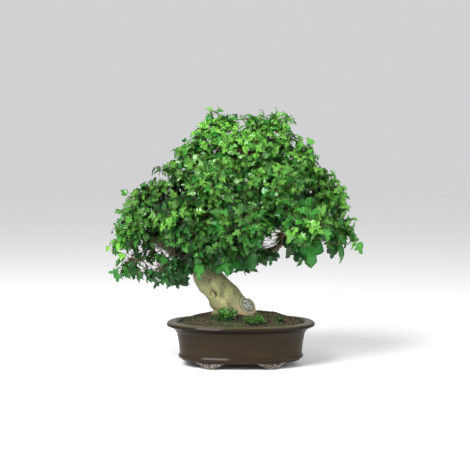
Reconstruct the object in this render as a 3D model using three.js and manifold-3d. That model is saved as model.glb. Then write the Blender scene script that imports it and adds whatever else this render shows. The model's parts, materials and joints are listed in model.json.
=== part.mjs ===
// Black mulberry bonsai in an oval stoneware pot. Millimetres, +Z up, front towards -Y.
// A thick trunk leans left out of a mounded bed of soil, forks low, and carries a broad
// dome of small lobed leaves. Everything is laid out from the middle of the pot, and the
// whole is then moved so that its origin lies under the middle of its outline.
import * as THREE from 'three';
import { mergeVertices } from 'three/addons/utils/BufferGeometryUtils.js';
import Module from 'manifold-3d';

const wasm = await Module();
wasm.setup();

// Driving dimensions
const clearance = 0.4;
const potHeight = 120.5;
const footHeight = 17;
const rimHalfLength = 204;
const rimHalfWidth = 139;
const wallFoot = 168;
const wallTop = 177;
const bandHalfLength = 171.5;
const wallThickness = 9;
const floorTop = 28;
const drainRadius = 11;
const drainOffset = 85;
const moundTop = 146;
const soilEdge = 113;
const leafLength = 66;
const leafThickness = 2.2;
const seed = 20121;

const shades = {
  stoneware: { color: 0x41362c, roughness: 0.45, metalness: 0 },
  soil: { color: 0x2e2620, roughness: 0.95, metalness: 0 },
  bark: { color: 0x8a8262, roughness: 0.85, metalness: 0 },
  leaf: { color: 0x2f7a22, roughness: 0.45, metalness: 0 },
  moss: { color: 0x3f7a1e, roughness: 0.9, metalness: 0 },
  mesh: { color: 0x2a2d2b, roughness: 0.6, metalness: 0 },
};

// Small helpers

function randomSource(state) {
  return () => {
    state = (state + 0x6d2b79f5) | 0;
    let mixed = Math.imul(state ^ (state >>> 15), 1 | state);
    mixed = (mixed + Math.imul(mixed ^ (mixed >>> 7), 61 | mixed)) ^ mixed;
    return ((mixed ^ (mixed >>> 14)) >>> 0) / 4294967296;
  };
}

function point(x, y, z) {
  return new THREE.Vector3(x, y, z);
}

// A closed three.js geometry as a solid that can be joined and cut.
function solidFrom(geometry) {
  const bare = geometry.index ? geometry.toNonIndexed() : geometry.clone();
  bare.deleteAttribute('normal');
  bare.deleteAttribute('uv');
  const merged = mergeVertices(bare, 1e-3);
  const corners = merged.index.array;
  const kept = [];
  for (let i = 0; i < corners.length; i += 3) {
    const [a, b, c] = corners.subarray(i, i + 3);
    if (a !== b && b !== c && a !== c) kept.push(a, b, c);
  }
  return new wasm.Manifold(new wasm.Mesh({
    numProp: 3,
    vertProperties: merged.attributes.position.array,
    triVerts: new Uint32Array(kept),
  }));
}

function geometryFrom(solid) {
  const { vertProperties, triVerts } = solid.getMesh();
  const geometry = new THREE.BufferGeometry();
  geometry.setAttribute('position', new THREE.BufferAttribute(vertProperties, 3));
  geometry.setIndex(new THREE.BufferAttribute(triVerts, 1));
  geometry.computeVertexNormals();
  return geometry;
}

function joined(solids) {
  return wasm.Manifold.union(solids);
}

// The biggest body of a solid: a cut can leave loose scraps, which are dropped.
function wholePiece(solid) {
  return solid.decompose().reduce((most, body) => (body.volume() > most.volume() ? body : most));
}

function meshOf(name, solid, shade) {
  const mesh = new THREE.Mesh(geometryFrom(solid), new THREE.MeshStandardMaterial(shade));
  mesh.name = name;
  return mesh;
}

function moveVertices(geometry, move) {
  const positions = geometry.attributes.position;
  const corner = new THREE.Vector3();
  for (let i = 0; i < positions.count; i++) {
    move(corner.fromBufferAttribute(positions, i));
    positions.setXYZ(i, corner.x, corner.y, corner.z);
  }
  return geometry;
}

// Pot

const ovalPower = 2.25;
const ovalSides = 32;
const ovalCore = 140;
const sideShortfall = rimHalfLength - rimHalfWidth;

// The half width that goes with a half length: the walls keep their thickness all round.
function halfWidth(halfLength) {
  if (halfLength >= ovalCore) return halfLength - sideShortfall;
  return halfLength * (ovalCore - sideShortfall) / ovalCore;
}

// Turns a round lathe shape into the pot's oval, which is a little squarer than an ellipse.
function toOval(corner) {
  const radius = Math.hypot(corner.x, corner.y);
  if (radius < 1e-6) return;
  const c = corner.x / radius;
  const s = corner.y / radius;
  const power = 2 / ovalPower;
  corner.x = radius * Math.sign(c) * Math.abs(c) ** power;
  corner.y = halfWidth(radius) * Math.sign(s) * Math.abs(s) ** power;
}

function ovalLathe(profile, move = toOval) {
  const points = profile.map(([radius, height]) => new THREE.Vector2(radius, height));
  const geometry = new THREE.LatheGeometry(points, ovalSides);
  geometry.rotateX(Math.PI / 2);
  return solidFrom(moveVertices(geometry, move));
}

function cylinderAt(x, y, low, high, radius, sides = 24) {
  const geometry = new THREE.CylinderGeometry(radius, radius, high - low, sides);
  geometry.rotateX(Math.PI / 2);
  geometry.translate(x, y, (low + high) / 2);
  return solidFrom(geometry);
}

const innerTop = wallTop - wallThickness;
const innerFoot = wallFoot - wallThickness - 2;
const innerWall = [[innerFoot - 9, floorTop], [innerFoot, floorTop + 8], [innerTop, 96], [173, 115]];

function potBody() {
  const outside = [
    [0, footHeight], [162, footHeight], [163.5, 25.5], [bandHalfLength, 29], [bandHalfLength, 35],
    [wallFoot, 41], [171, 66], [wallTop, 92], [186, 100.5], [196, 103.5], [rimHalfLength - 0.5, 107],
    [rimHalfLength, 113], [198, potHeight - 1], [190, potHeight], [180, potHeight - 0.5],
  ];
  const inside = [...innerWall].reverse();
  return ovalLathe([...outside, ...inside, [0, floorTop]]);
}

// One foot: a shallow bracket with swept ends and a small flat sole, bent to follow the oval.
function potFoot(sideX, sideY) {
  const sink = 2;
  const depth = 19;
  const middle = 84;
  const outline = [
    [-39, footHeight + sink], [-38, footHeight - 2], [-24, 9], [-14, 2], [-8, 0],
    [9, 0], [15, 2], [25, 10], [36, footHeight - 2], [37, footHeight + sink], [0, footHeight + sink],
  ];
  const shape = new THREE.Shape(outline.map(([x, z]) => new THREE.Vector2(x, z)));
  const geometry = new THREE.ExtrudeGeometry(shape, { depth, bevelEnabled: false });
  geometry.rotateX(Math.PI / 2);
  geometry.translate(middle, depth, 0);
  const face = 166;
  moveVertices(geometry, (corner) => {
    const share = Math.abs(corner.x / face) ** ovalPower;
    const frontLine = halfWidth(face) * (1 - share) ** (1 / ovalPower);
    corner.y = frontLine - corner.y;
    corner.x *= sideX;
    corner.y *= sideY;
  });
  return sideX * sideY < 0 ? solidFrom(geometry) : solidFrom(flipped(geometry));
}

// The same triangles wound the other way round.
function flipped(geometry) {
  const positions = geometry.attributes.position;
  const a = new THREE.Vector3();
  const b = new THREE.Vector3();
  for (let i = 0; i < positions.count; i += 3) {
    a.fromBufferAttribute(positions, i + 1);
    b.fromBufferAttribute(positions, i + 2);
    positions.setXYZ(i + 1, b.x, b.y, b.z);
    positions.setXYZ(i + 2, a.x, a.y, a.z);
  }
  return geometry;
}

function pot() {
  const feet = [[1, 1], [1, -1], [-1, 1], [-1, -1]].map(([x, y]) => potFoot(x, y));
  let solid = joined([potBody(), ...feet]);
  for (const x of [-drainOffset, drainOffset]) {
    solid = solid.subtract(cylinderAt(x, 0, footHeight - 1, floorTop + 1, drainRadius));
  }
  return solid;
}

// A square of plastic mesh that keeps the soil off a drain hole.
const screenSide = 36;
const screenThickness = 1.2;

function drainScreen(x) {
  const bars = 3;
  const pitch = screenSide / bars;
  const opening = pitch - 3;
  const first = x - screenSide / 2 + pitch / 2;
  const block = (cx, cy, side, depth) => {
    const geometry = new THREE.BoxGeometry(side, side, depth);
    return solidFrom(geometry.translate(cx, cy, floorTop + screenThickness / 2));
  };
  const openings = [];
  for (let i = 0; i < bars; i++) {
    for (let j = 0; j < bars; j++) {
      openings.push(block(first + i * pitch, first - x + j * pitch, opening, 2 * screenThickness));
    }
  }
  return block(x, 0, screenSide, screenThickness).subtract(joined(openings));
}

// Wood

// Gentle swellings round the trunk, as a share of its radius.
function trunkSwell(angle, along) {
  return 0.055 * Math.sin(2 * angle + 7 * along) + 0.045 * Math.sin(3 * angle - 11 * along + 1)
    + 0.03 * Math.sin(5 * angle + 17 * along + 2);
}

function limbSwell(angle, along) {
  return 0.05 * Math.sin(2 * angle + 19 * along) + 0.04 * Math.sin(13 * along);
}

// A tapering limb along a smooth path. Each stop is [x, y, z, radius].
function limb(stops, { sides, rings, gap = 0, swell = () => 0 }) {
  const curve = new THREE.CatmullRomCurve3(stops.map(([x, y, z]) => point(x, y, z)), false, 'centripetal');
  const frames = curve.computeFrenetFrames(rings);
  const last = stops.length - 1;
  const geometry = new THREE.CylinderGeometry(1, 1, 1, sides, rings);
  moveVertices(geometry, (corner) => {
    const along = corner.y + 0.5;
    const ring = Math.round(along * rings);
    const stop = Math.min(curve.getUtoTmapping(along) * last, last - 1e-9);
    const [before, after] = [stops[Math.floor(stop)], stops[Math.floor(stop) + 1]];
    const radius = THREE.MathUtils.lerp(before[3], after[3], stop - Math.floor(stop));
    const spread = Math.hypot(corner.x, corner.z);
    const angle = Math.atan2(corner.z, corner.x);
    const reach = radius * (1 + swell(angle, along)) + gap;
    const side = frames.normals[ring].clone().multiplyScalar(corner.x * reach);
    const rise = frames.binormals[ring].clone().multiplyScalar(-corner.z * reach);
    const atEnd = (ring === rings ? 1 : 0) - (ring === 0 ? 1 : 0);
    const bulge = spread < 0.5 ? radius * 0.5 : 0;
    const beyond = frames.tangents[ring].clone().multiplyScalar(atEnd * (gap + bulge));
    corner.copy(curve.getPointAt(along)).add(side).add(rise).add(beyond);
  });
  return solidFrom(geometry);
}

// Where each limb runs: [x, y, z, radius] from its root to its end.
const trunkPath = [
  [-12, 4, 62, 40], [-22, 2, 108, 46], [-32, 0, 146, 45], [-45, -2, 184, 47], [-62, -2, 208, 52],
  [-84, 0, 238, 44], [-99, 4, 270, 33],
];
const limbs = {
  leader: [[-94, 4, 262, 27], [-98, 8, 305, 23], [-76, 10, 362, 20], [-38, 4, 420, 17], [-8, -4, 482, 13],
    [4, -6, 540, 9], [12, -2, 588, 6]],
  leftArm: [[-96, 4, 258, 20], [-138, 0, 290, 15], [-192, -12, 318, 12], [-244, -20, 352, 9],
    [-276, -16, 368, 4]],
  rightArm: [[-92, 6, 284, 17], [-40, -8, 316, 13], [40, -22, 312, 11], [102, -18, 326, 10],
    [142, -12, 378, 8], [190, -4, 394, 6], [234, 8, 368, 4]],
  backArm: [[-88, 12, 335, 14], [-62, 60, 368, 11], [-30, 116, 390, 8], [0, 172, 410, 4]],
  frontArm: [[-90, 4, 340, 13], [-72, -52, 366, 10], [-38, -108, 384, 7], [0, -158, 398, 4]],
};
const roots = [
  [[-40, -6, 150, 17], [-70, -12, 140, 12], [-90, -20, 120, 7]],
  [[0, -14, 152, 20], [28, -34, 138, 12], [50, -58, 116, 7]],
  [[-4, 10, 156, 20], [34, 24, 138, 13], [66, 40, 116, 7]],
  [[-36, 18, 150, 18], [-48, 50, 136, 12], [-58, 76, 114, 7]],
  [[-24, -18, 148, 20], [-16, -42, 136, 13], [-10, -62, 118, 7]],
];

// Each leafy spray: where its middle is, its half sizes, the limb it grows from, how far
// along that limb its own branch leaves, and the tips of shoots that run out beyond it.
const sprays = [
  { name: 'apex_left', at: [-58, -12, 620], size: [64, 64, 54], limb: 'leader', along: 0.88,
    shoots: [[-86, -22, 682]] },
  { name: 'apex_right', at: [74, -4, 616], size: [74, 70, 56], limb: 'leader', along: 0.9,
    shoots: [[132, -10, 662]] },
  { name: 'apex_front', at: [8, -84, 576], size: [80, 58, 60], limb: 'leader', along: 0.86 },
  { name: 'apex_back', at: [6, 78, 580], size: [88, 66, 64], limb: 'leader', along: 0.84 },
  { name: 'upper_left', at: [-132, -20, 540], size: [72, 76, 64], limb: 'leader', along: 0.66,
    shoots: [[-220, -20, 524]] },
  { name: 'upper_right', at: [148, -10, 532], size: [72, 82, 66], limb: 'leader', along: 0.68 },
  { name: 'upper_front_left', at: [-62, -128, 500], size: [84, 64, 66], limb: 'leader', along: 0.6 },
  { name: 'upper_front_right', at: [76, -130, 490], size: [84, 64, 66], limb: 'leader', along: 0.62 },
  { name: 'upper_back_left', at: [-78, 122, 512], size: [90, 68, 70], limb: 'leader', along: 0.58 },
  { name: 'upper_back_right', at: [88, 124, 502], size: [90, 68, 70], limb: 'leader', along: 0.63 },
  { name: 'left_shoulder', at: [-224, -22, 434], size: [80, 84, 64], limb: 'leftArm', along: 0.55,
    shoots: [[-264, -40, 494]] },
  { name: 'left_tip', at: [-276, -16, 368], size: [68, 76, 62], limb: 'leftArm', along: 1,
    shoots: [[-348, -26, 334]] },
  { name: 'right_shoulder', at: [220, -14, 450], size: [66, 82, 66], limb: 'rightArm', along: 0.8,
    shoots: [[248, -20, 512]] },
  { name: 'right_tip', at: [234, 8, 368], size: [72, 80, 56], limb: 'rightArm', along: 1,
    shoots: [[308, 4, 342], [268, -14, 292]] },
  { name: 'middle_front_left', at: [-146, -134, 406], size: [86, 66, 68], limb: 'frontArm', along: 0.5 },
  { name: 'middle_front', at: [0, -158, 398], size: [86, 56, 68], limb: 'frontArm', along: 1 },
  { name: 'middle_front_right', at: [134, -130, 392], size: [86, 66, 68], limb: 'rightArm', along: 0.62 },
  { name: 'middle_back_left', at: [-156, 122, 412], size: [92, 76, 72], limb: 'backArm', along: 0.5 },
  { name: 'middle_back', at: [0, 172, 410], size: [90, 58, 72], limb: 'backArm', along: 1 },
  { name: 'middle_back_right', at: [158, 126, 402], size: [92, 76, 72], limb: 'backArm', along: 0.72 },
  { name: 'low_left_tip', at: [-270, -10, 284], size: [68, 76, 50], limb: 'leftArm', along: 0.72,
    shoots: [[-330, -40, 236]] },
  { name: 'low_left', at: [-188, -50, 272], size: [62, 70, 50], limb: 'leftArm', along: 0.5 },
  { name: 'low_left_back', at: [-188, 80, 302], size: [80, 68, 56], limb: 'leftArm', along: 0.42 },
  { name: 'low_front', at: [-74, -106, 316], size: [72, 54, 50], limb: 'frontArm', along: 0.4 },
  { name: 'low_middle', at: [16, -66, 310], size: [48, 48, 40], limb: 'rightArm', along: 0.34 },
  { name: 'low_right', at: [174, -52, 322], size: [56, 58, 46], limb: 'rightArm', along: 0.7,
    shoots: [[188, -84, 276]] },
  { name: 'low_back', at: [24, 110, 324], size: [84, 66, 50], limb: 'backArm', along: 0.45 },
];

const thinnest = 3;

// The branch that carries a spray: it leaves its limb, lifts a little and ends in the middle.
function sprayBranch(spray) {
  const parent = limbs[spray.limb];
  if (spray.along === 1) return null;
  const curve = new THREE.CatmullRomCurve3(parent.map(([x, y, z]) => point(x, y, z)), false, 'centripetal');
  const start = curve.getPoint(spray.along);
  const end = point(...spray.at);
  const stop = spray.along * (parent.length - 1);
  const thick = THREE.MathUtils.lerp(parent[Math.floor(stop)][3], parent[Math.ceil(stop)][3], stop % 1);
  const middle = start.clone().lerp(end, 0.5);
  middle.z += 0.07 * start.distanceTo(end) * (end.z > start.z ? -1 : 1);
  const radius = Math.min(thick * 0.62, 8);
  return [
    [start.x, start.y, start.z, radius],
    [middle.x, middle.y, middle.z, radius * 0.75],
    [end.x, end.y, end.z, thinnest],
  ];
}

// The rolled edge of an old pruning wound, low on the right of the trunk.
const wound = { at: point(18, -29, 165), facing: point(0.42, -0.88, 0.2), width: 19, height: 24 };

function turnedTo(geometry, facing, at) {
  const turn = new THREE.Quaternion().setFromUnitVectors(point(0, 0, 1), facing.clone().normalize());
  return geometry.applyQuaternion(turn).translate(at.x, at.y, at.z);
}

function ellipsoid(at, size, segments = [9, 6]) {
  const geometry = new THREE.SphereGeometry(1, ...segments);
  geometry.rotateX(Math.PI / 2);
  geometry.scale(...size);
  geometry.translate(at.x, at.y, at.z);
  return solidFrom(geometry);
}

function burl(gap) {
  return ellipsoid(point(9, -8, 162), [31 + gap, 28 + gap, 33 + gap]);
}

function woundRing(gap) {
  const ring = new THREE.TorusGeometry(1, 0.24 + 1.3 * gap / wound.width, 4, 13);
  ring.scale(wound.width, wound.height, wound.width);
  return solidFrom(turnedTo(ring, wound.facing, wound.at));
}

function woundHollow() {
  const hollow = new THREE.SphereGeometry(1, 8, 5);
  hollow.scale(wound.width * 0.62, wound.height * 0.62, 7);
  return solidFrom(turnedTo(hollow, wound.facing, wound.at.clone().addScaledVector(wound.facing, 3)));
}

function woodParts(gap) {
  const parts = [limb(trunkPath, { sides: 12, rings: 9, gap, swell: trunkSwell }), burl(gap)];
  for (const path of roots) parts.push(limb(path, { sides: 5, rings: 3, gap }));
  for (const path of Object.values(limbs)) {
    parts.push(limb(path, { sides: 6, rings: path.length + 2, gap, swell: limbSwell }));
  }
  for (const spray of sprays) {
    const path = sprayBranch(spray);
    if (path) parts.push(limb(path, { sides: 5, rings: 2, gap }));
  }
  return parts;
}

function wood() {
  const knot = ellipsoid(point(-76, -47, 197), [7, 9, 10], [8, 6]);
  return joined([...woodParts(0), woundRing(0)]).subtract(woundHollow()).subtract(knot);
}

// What the other pieces keep clear of.
const woodRoom = joined([...woodParts(clearance), woundRing(clearance)]);

// Soil

function moundHeight(x, y, share) {
  const lumps = 1.6 * Math.sin(x / 9 + 1) * Math.cos(y / 8) + 1.2 * Math.sin(x / 5 - y / 6);
  const rise = 1 - Math.min(1, share) ** 3;
  return soilEdge + (moundTop - soilEdge) * rise + lumps * Math.min(1, (1 - share) * 5);
}

function soil() {
  const shares = [0.92, 0.78, 0.56, 0.3];
  const edge = [...innerWall.slice(0, 3), [171.5, 109]].map(([r, z]) => [r - clearance, z]);
  edge[0][1] += clearance;
  const edgeLength = edge[edge.length - 1][0];
  const top = [[edgeLength, soilEdge - 0.5], ...shares.map((share) => [edgeLength * share, soilEdge])];
  const profile = [[0, floorTop + clearance], ...edge, ...top, [0, soilEdge]];
  const mound = (corner) => {
    const share = Math.hypot(corner.x, corner.y) / edgeLength;
    const onTop = corner.z >= soilEdge - 0.1;
    toOval(corner);
    if (onTop) corner.z = moundHeight(corner.x, corner.y, share);
  };
  let solid = ovalLathe(profile, mound).subtract(woodRoom);
  for (const x of [-drainOffset, drainOffset]) {
    const recess = new THREE.BoxGeometry(screenSide + 2, screenSide + 2, 2 * screenThickness + 1);
    recess.translate(x, 0, floorTop);
    solid = solid.subtract(solidFrom(recess));
  }
  return wholePiece(solid);
}

// Leaves

// Half outline of a leaf of length 1, from its stalk to its tip, as [across, along].
const lobedLeaf = [[0.045, -0.34], [0.46, 0.06], [0.2, 0.4], [0.36, 0.58], [0, 1]];
const heartLeaf = [[0.045, -0.34], [0.46, 0.06], [0.4, 0.5], [0, 1]];
const ribMiddle = 0.34;

// A leaf thickest at the middle of its rib, folded up along the rib and drooping to its tip.
function leafGeometry(outline, length, fold, droop) {
  const mirrored = outline.slice(0, -1).reverse().map(([across, along]) => [-across, along]);
  const rim = [...outline, ...mirrored];
  const corners = [];
  for (const [across, along] of rim) {
    const z = fold * Math.abs(across) - droop * along * Math.abs(along);
    corners.push(across * length, along * length, z * length);
  }
  const lowest = -droop * ribMiddle * ribMiddle * length;
  corners.push(0, ribMiddle * length, lowest + leafThickness / 2);
  corners.push(0, ribMiddle * length, lowest - leafThickness / 2);
  const faces = [];
  for (let i = 0; i < rim.length; i++) {
    const next = (i + 1) % rim.length;
    faces.push(i, next, rim.length);
    faces.push(next, i, rim.length + 1);
  }
  const geometry = new THREE.BufferGeometry();
  geometry.setAttribute('position', new THREE.Float32BufferAttribute(corners, 3));
  geometry.setIndex(faces);
  return geometry;
}

// A leaf standing at a place, pointing along its axis with its face towards 'facing'.
function leafAt({ at, axis, facing, length, outline, fold, droop }) {
  const along = axis.clone().normalize();
  const across = along.clone().cross(facing).normalize();
  const up = across.clone().cross(along);
  const placed = new THREE.Matrix4().makeBasis(across, along, up).setPosition(at);
  return leafGeometry(outline, length, fold, droop).applyMatrix4(placed);
}

// The room a spray may fill: it ends at a plane halfway to each neighbour.
function roomOf(spray) {
  const here = point(...spray.at);
  const reach = ({ size }) => (size[0] + size[1] + size[2]) / 3;
  return sprays.filter((other) => other !== spray).map((other) => {
    const there = point(...other.at);
    const apart = there.distanceTo(here);
    const normal = there.clone().sub(here).divideScalar(apart);
    const share = 0.5 + (reach(spray) ** 2 - reach(other) ** 2) / (2 * apart * apart);
    return new THREE.Plane(normal, -normal.dot(here) - apart * share + clearance / 2);
  });
}

function fits(geometry, room) {
  const positions = geometry.attributes.position;
  const corner = new THREE.Vector3();
  for (let i = 0; i < positions.count; i++) {
    corner.fromBufferAttribute(positions, i);
    if (room.some((plane) => plane.distanceToPoint(corner) > 0)) return false;
  }
  return true;
}

// Leaves are tried at places spread evenly round a core, in an order that skips about.
const coreShare = 0.8;
const placesAround = 52;
const stride = 19;
const mostLeaves = 10;
const leastRoot = 3;
const stalkFaces = 16;
const crownMiddle = point(-20, 0, 420);

// The small lumpy core of fine twigs that the leaves stand out of.
function coreGeometry(spray, room) {
  const centre = point(...spray.at);
  const geometry = new THREE.SphereGeometry(1, 6, 4);
  geometry.rotateX(Math.PI / 2);
  return moveVertices(geometry, (corner) => {
    const lump = 0.12 * Math.sin(7 * corner.x + spray.at[0]) + 0.1 * Math.cos(6 * corner.y + spray.at[2]);
    corner.multiply(point(...spray.size)).multiplyScalar(coreShare * (1 + lump));
    const reach = corner.length();
    const ray = new THREE.Ray(centre, corner.clone().normalize());
    const limit = Math.min(...room.map((plane) => ray.distanceToPlane(plane) ?? Infinity));
    if (limit < reach) corner.setLength(limit);
    corner.add(centre);
  });
}

// Whether that side of a spray is hidden, in the crown or in another spray.
function isHidden(spray, way) {
  const fromMiddle = point(...spray.at).sub(crownMiddle).normalize();
  if (fromMiddle.dot(way) < -0.15) return true;
  const place = point(...spray.at).add(way.clone().multiply(point(...spray.size)).multiplyScalar(0.95));
  return sprays.some((other) => {
    if (other === spray) return false;
    const from = place.clone().sub(point(...other.at)).divide(point(...other.size));
    return from.length() < 0.85;
  });
}

// A shoot that runs out beyond the spray, with a leaf at its tip and one on its side.
function shootOf(spray, tip) {
  const start = point(...spray.at);
  const end = point(...tip);
  const middle = start.clone().lerp(end, 0.55).add(point(0, 0, 6));
  const path = [start, middle, end].map(({ x, y, z }, i) => [x, y, z, 2.6 - 0.5 * i]);
  return { start, end, solid: limb(path, { sides: 4, rings: 3 }) };
}

function shootLeaf({ start, end }, share, swing, random) {
  const heading = end.clone().sub(start).normalize();
  const sideways = heading.clone().cross(point(0, 0, 1)).normalize().multiplyScalar(swing);
  return {
    at: start.clone().lerp(end, share),
    axis: heading.add(sideways).add(point(0, 0, -0.35 + 0.3 * (random() - 0.5))),
    facing: point(0.3 * (random() - 0.5), -0.35 * random(), 1),
    length: leafLength * 0.7,
    outline: lobedLeaf,
    fold: 0.12,
    droop: 0.15,
  };
}

// Where a ray from the middle of a spray leaves its core.
function coreSurface(spray, coreMesh, way) {
  const heading = way.clone().multiply(point(...spray.size)).normalize();
  return new THREE.Raycaster(point(...spray.at), heading).intersectObject(coreMesh)[0].point;
}

// A leaf on the core: it stands out from it, its tip turned down and away from the trunk.
function coreLeaf(spray, coreMesh, way, attempt, random) {
  const outward = way.clone().divide(point(...spray.size)).normalize();
  const at = coreSurface(spray, coreMesh, way);
  const away = at.clone().sub(crownMiddle).setZ(0).normalize();
  const loose = 0.3 + 0.06 * attempt;
  const wander = point(random() - 0.5, random() - 0.5, random() - 0.5).multiplyScalar(2 * loose);
  const along = away.add(point(0, 0, -0.8)).add(wander).projectOnPlane(outward).normalize();
  const axis = along.multiplyScalar(0.84).addScaledVector(outward, 0.54);
  const length = leafLength * (0.85 + 0.35 * random()) * (attempt > 10 ? 0.75 : 1);
  return {
    at: at.addScaledVector(axis, 0.12 * length),
    axis,
    facing: outward.clone().add(point(0, 0, 0.2)).addScaledVector(wander, 0.3),
    length,
    outline: random() < 0.7 ? lobedLeaf : heartLeaf,
    fold: 0.08 + 0.14 * random(),
    droop: 0.12 + 0.2 * random(),
  };
}

function leafySpray(spray, random) {
  const room = roomOf(spray);
  const shoots = (spray.shoots ?? []).map((tip) => shootOf(spray, tip));
  const core = coreGeometry(spray, room);
  const coreMesh = new THREE.Mesh(core, new THREE.MeshBasicMaterial({ side: THREE.DoubleSide }));
  const stem = joined([solidFrom(core), ...shoots.map(({ solid }) => solid)]).subtract(woodRoom);
  const blades = [];
  const tryLeaf = (choose, attempts, mostRootFaces) => {
    for (let attempt = 0; attempt < attempts; attempt++) {
      const geometry = leafAt(choose(attempt));
      if (!fits(geometry, room)) continue;
      const blade = solidFrom(geometry);
      // Only the stalk may enter the core, and the sunk end of a stalk has few faces.
      const root = blade.intersect(stem);
      if (root.volume() < leastRoot || root.numTri() > mostRootFaces) continue;
      if ([woodRoom, ...blades].some((other) => !blade.intersect(other).isEmpty())) continue;
      blades.push(blade);
      return;
    }
  };
  for (const shoot of shoots) {
    for (const [share, swing] of [[0.97, 0.3], [0.84, -1.2]]) {
      tryLeaf(() => shootLeaf(shoot, share, swing, random), 12, 4 * stalkFaces);
    }
  }
  const golden = Math.PI * (3 - Math.sqrt(5));
  const turn = random() * Math.PI * 2;
  const mostBlades = mostLeaves + blades.length;
  for (let i = 0; i < placesAround && blades.length < mostBlades; i++) {
    const place = (i * stride) % placesAround;
    const height = 1 - 2 * (place + 0.5) / placesAround;
    const flat = Math.sqrt(1 - height * height);
    const around = golden * place + turn;
    const way = point(Math.cos(around) * flat, Math.sin(around) * flat, height);
    if (isHidden(spray, way)) continue;
    tryLeaf((attempt) => coreLeaf(spray, coreMesh, way, attempt, random), 20, stalkFaces);
  }
  return wholePiece(joined([stem, ...blades]));
}

// Moss and seedlings on the soil

const mossPatches = [
  { name: 'moss_left', at: [-46, -66], size: [28, 14, 14], blades: 7 },
  { name: 'moss_right', at: [44, -76], size: [33, 17, 11], blades: 7 },
  { name: 'moss_small', at: [108, -54], size: [14, 9, 6], blades: 3 },
];

function mossPatch(patch, random, ground) {
  const [x, y] = patch.at;
  const share = Math.hypot(x / 170, y / 106);
  const low = moundHeight(x, y, share) - 3;
  const solids = [ellipsoid(point(x, y, low), patch.size, [8, 4])];
  for (let i = 0; i < patch.blades; i++) {
    const around = 2.4 * i;
    const out = Math.sqrt((i + 0.5) / patch.blades) * 0.8;
    const way = point(Math.cos(around) * out, Math.sin(around) * out, Math.sqrt(1 - out * out));
    const at = point(x, y, low).add(way.clone().multiply(point(...patch.size)).multiplyScalar(0.85));
    const axis = point(way.x + 0.5 * (random() - 0.5), way.y + 0.5 * (random() - 0.5), 1.1);
    const facing = point(-way.x, -way.y - 0.4, 0.6);
    const leaf = { at, axis, facing, length: 12 + 5 * random(), outline: heartLeaf, fold: 0.1, droop: 0.2 };
    solids.push(solidFrom(leafAt(leaf)));
  }
  return wholePiece(joined(solids).subtract(ground).subtract(woodRoom));
}

// The whole plant in its pot

const random = randomSource(seed);
const planted = new THREE.Group();
const bed = soil();
planted.add(meshOf('pot', pot(), shades.stoneware));
planted.add(meshOf('drain_screen_left', drainScreen(-drainOffset), shades.mesh));
planted.add(meshOf('drain_screen_right', drainScreen(drainOffset), shades.mesh));
planted.add(meshOf('soil', bed, shades.soil));
planted.add(meshOf('trunk', wood(), shades.bark));
for (const patch of mossPatches) {
  const ground = joined([bed, bed.translate([0, 0, clearance])]);
  planted.add(meshOf(patch.name, mossPatch(patch, random, ground), shades.moss));
}
for (const spray of sprays) {
  planted.add(meshOf('leaves_' + spray.name, leafySpray(spray, random), shades.leaf));
}

const outline = new THREE.Box3().setFromObject(planted);
const middle = outline.getCenter(new THREE.Vector3());
planted.position.set(-middle.x, -middle.y, -outline.min.z);

const bonsai = new THREE.Group();
bonsai.add(planted);
export default bonsai;
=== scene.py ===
import json
import math
import random

import bmesh
import bpy
import numpy as np
from mathutils import Matrix, Vector, noise

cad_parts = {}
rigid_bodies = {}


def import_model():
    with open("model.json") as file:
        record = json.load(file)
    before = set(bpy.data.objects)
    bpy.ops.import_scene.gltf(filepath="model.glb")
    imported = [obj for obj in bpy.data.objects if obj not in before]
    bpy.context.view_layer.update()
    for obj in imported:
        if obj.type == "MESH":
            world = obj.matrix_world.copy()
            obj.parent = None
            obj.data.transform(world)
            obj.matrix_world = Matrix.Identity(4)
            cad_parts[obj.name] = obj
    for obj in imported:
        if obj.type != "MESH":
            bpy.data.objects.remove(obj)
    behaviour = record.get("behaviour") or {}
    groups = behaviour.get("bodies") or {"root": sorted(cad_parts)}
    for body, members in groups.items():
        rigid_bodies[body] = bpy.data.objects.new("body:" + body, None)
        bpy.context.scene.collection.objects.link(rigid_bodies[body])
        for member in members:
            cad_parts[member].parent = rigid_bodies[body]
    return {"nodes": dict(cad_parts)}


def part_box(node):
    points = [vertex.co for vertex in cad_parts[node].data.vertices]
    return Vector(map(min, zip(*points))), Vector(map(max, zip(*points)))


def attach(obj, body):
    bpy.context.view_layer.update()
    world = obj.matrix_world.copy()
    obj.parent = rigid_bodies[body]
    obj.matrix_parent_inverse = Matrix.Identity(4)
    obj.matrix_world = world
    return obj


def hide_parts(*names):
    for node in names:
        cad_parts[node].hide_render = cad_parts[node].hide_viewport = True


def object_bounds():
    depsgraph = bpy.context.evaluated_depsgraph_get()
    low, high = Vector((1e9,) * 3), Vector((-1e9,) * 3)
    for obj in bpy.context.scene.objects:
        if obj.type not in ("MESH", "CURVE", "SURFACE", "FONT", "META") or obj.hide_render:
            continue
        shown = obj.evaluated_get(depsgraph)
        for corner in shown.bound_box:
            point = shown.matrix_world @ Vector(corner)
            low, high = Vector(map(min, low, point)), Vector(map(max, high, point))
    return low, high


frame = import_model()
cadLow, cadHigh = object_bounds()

# Mulberry bonsai: a leafy crown on a leaning trunk, in an oval stoneware pot.

potLow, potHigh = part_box("pot")
potMiddle = Vector(((potLow.x + potHigh.x) / 2, (potLow.y + potHigh.y) / 2, 0))


def fromPot(x, y, z):  # millimetres from the middle of the pot, up from the ground
    return potMiddle + Vector((x, y, z)) / 1000


def paint(red, green, blue):  # a screen colour, 0 to 255, as Blender wants it
    linear = [c / 255 / 12.92 if c < 11 else ((c / 255 + 0.055) / 1.055) ** 2.4 for c in (red, green, blue)]
    return (*linear, 1)


# nodes

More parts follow.
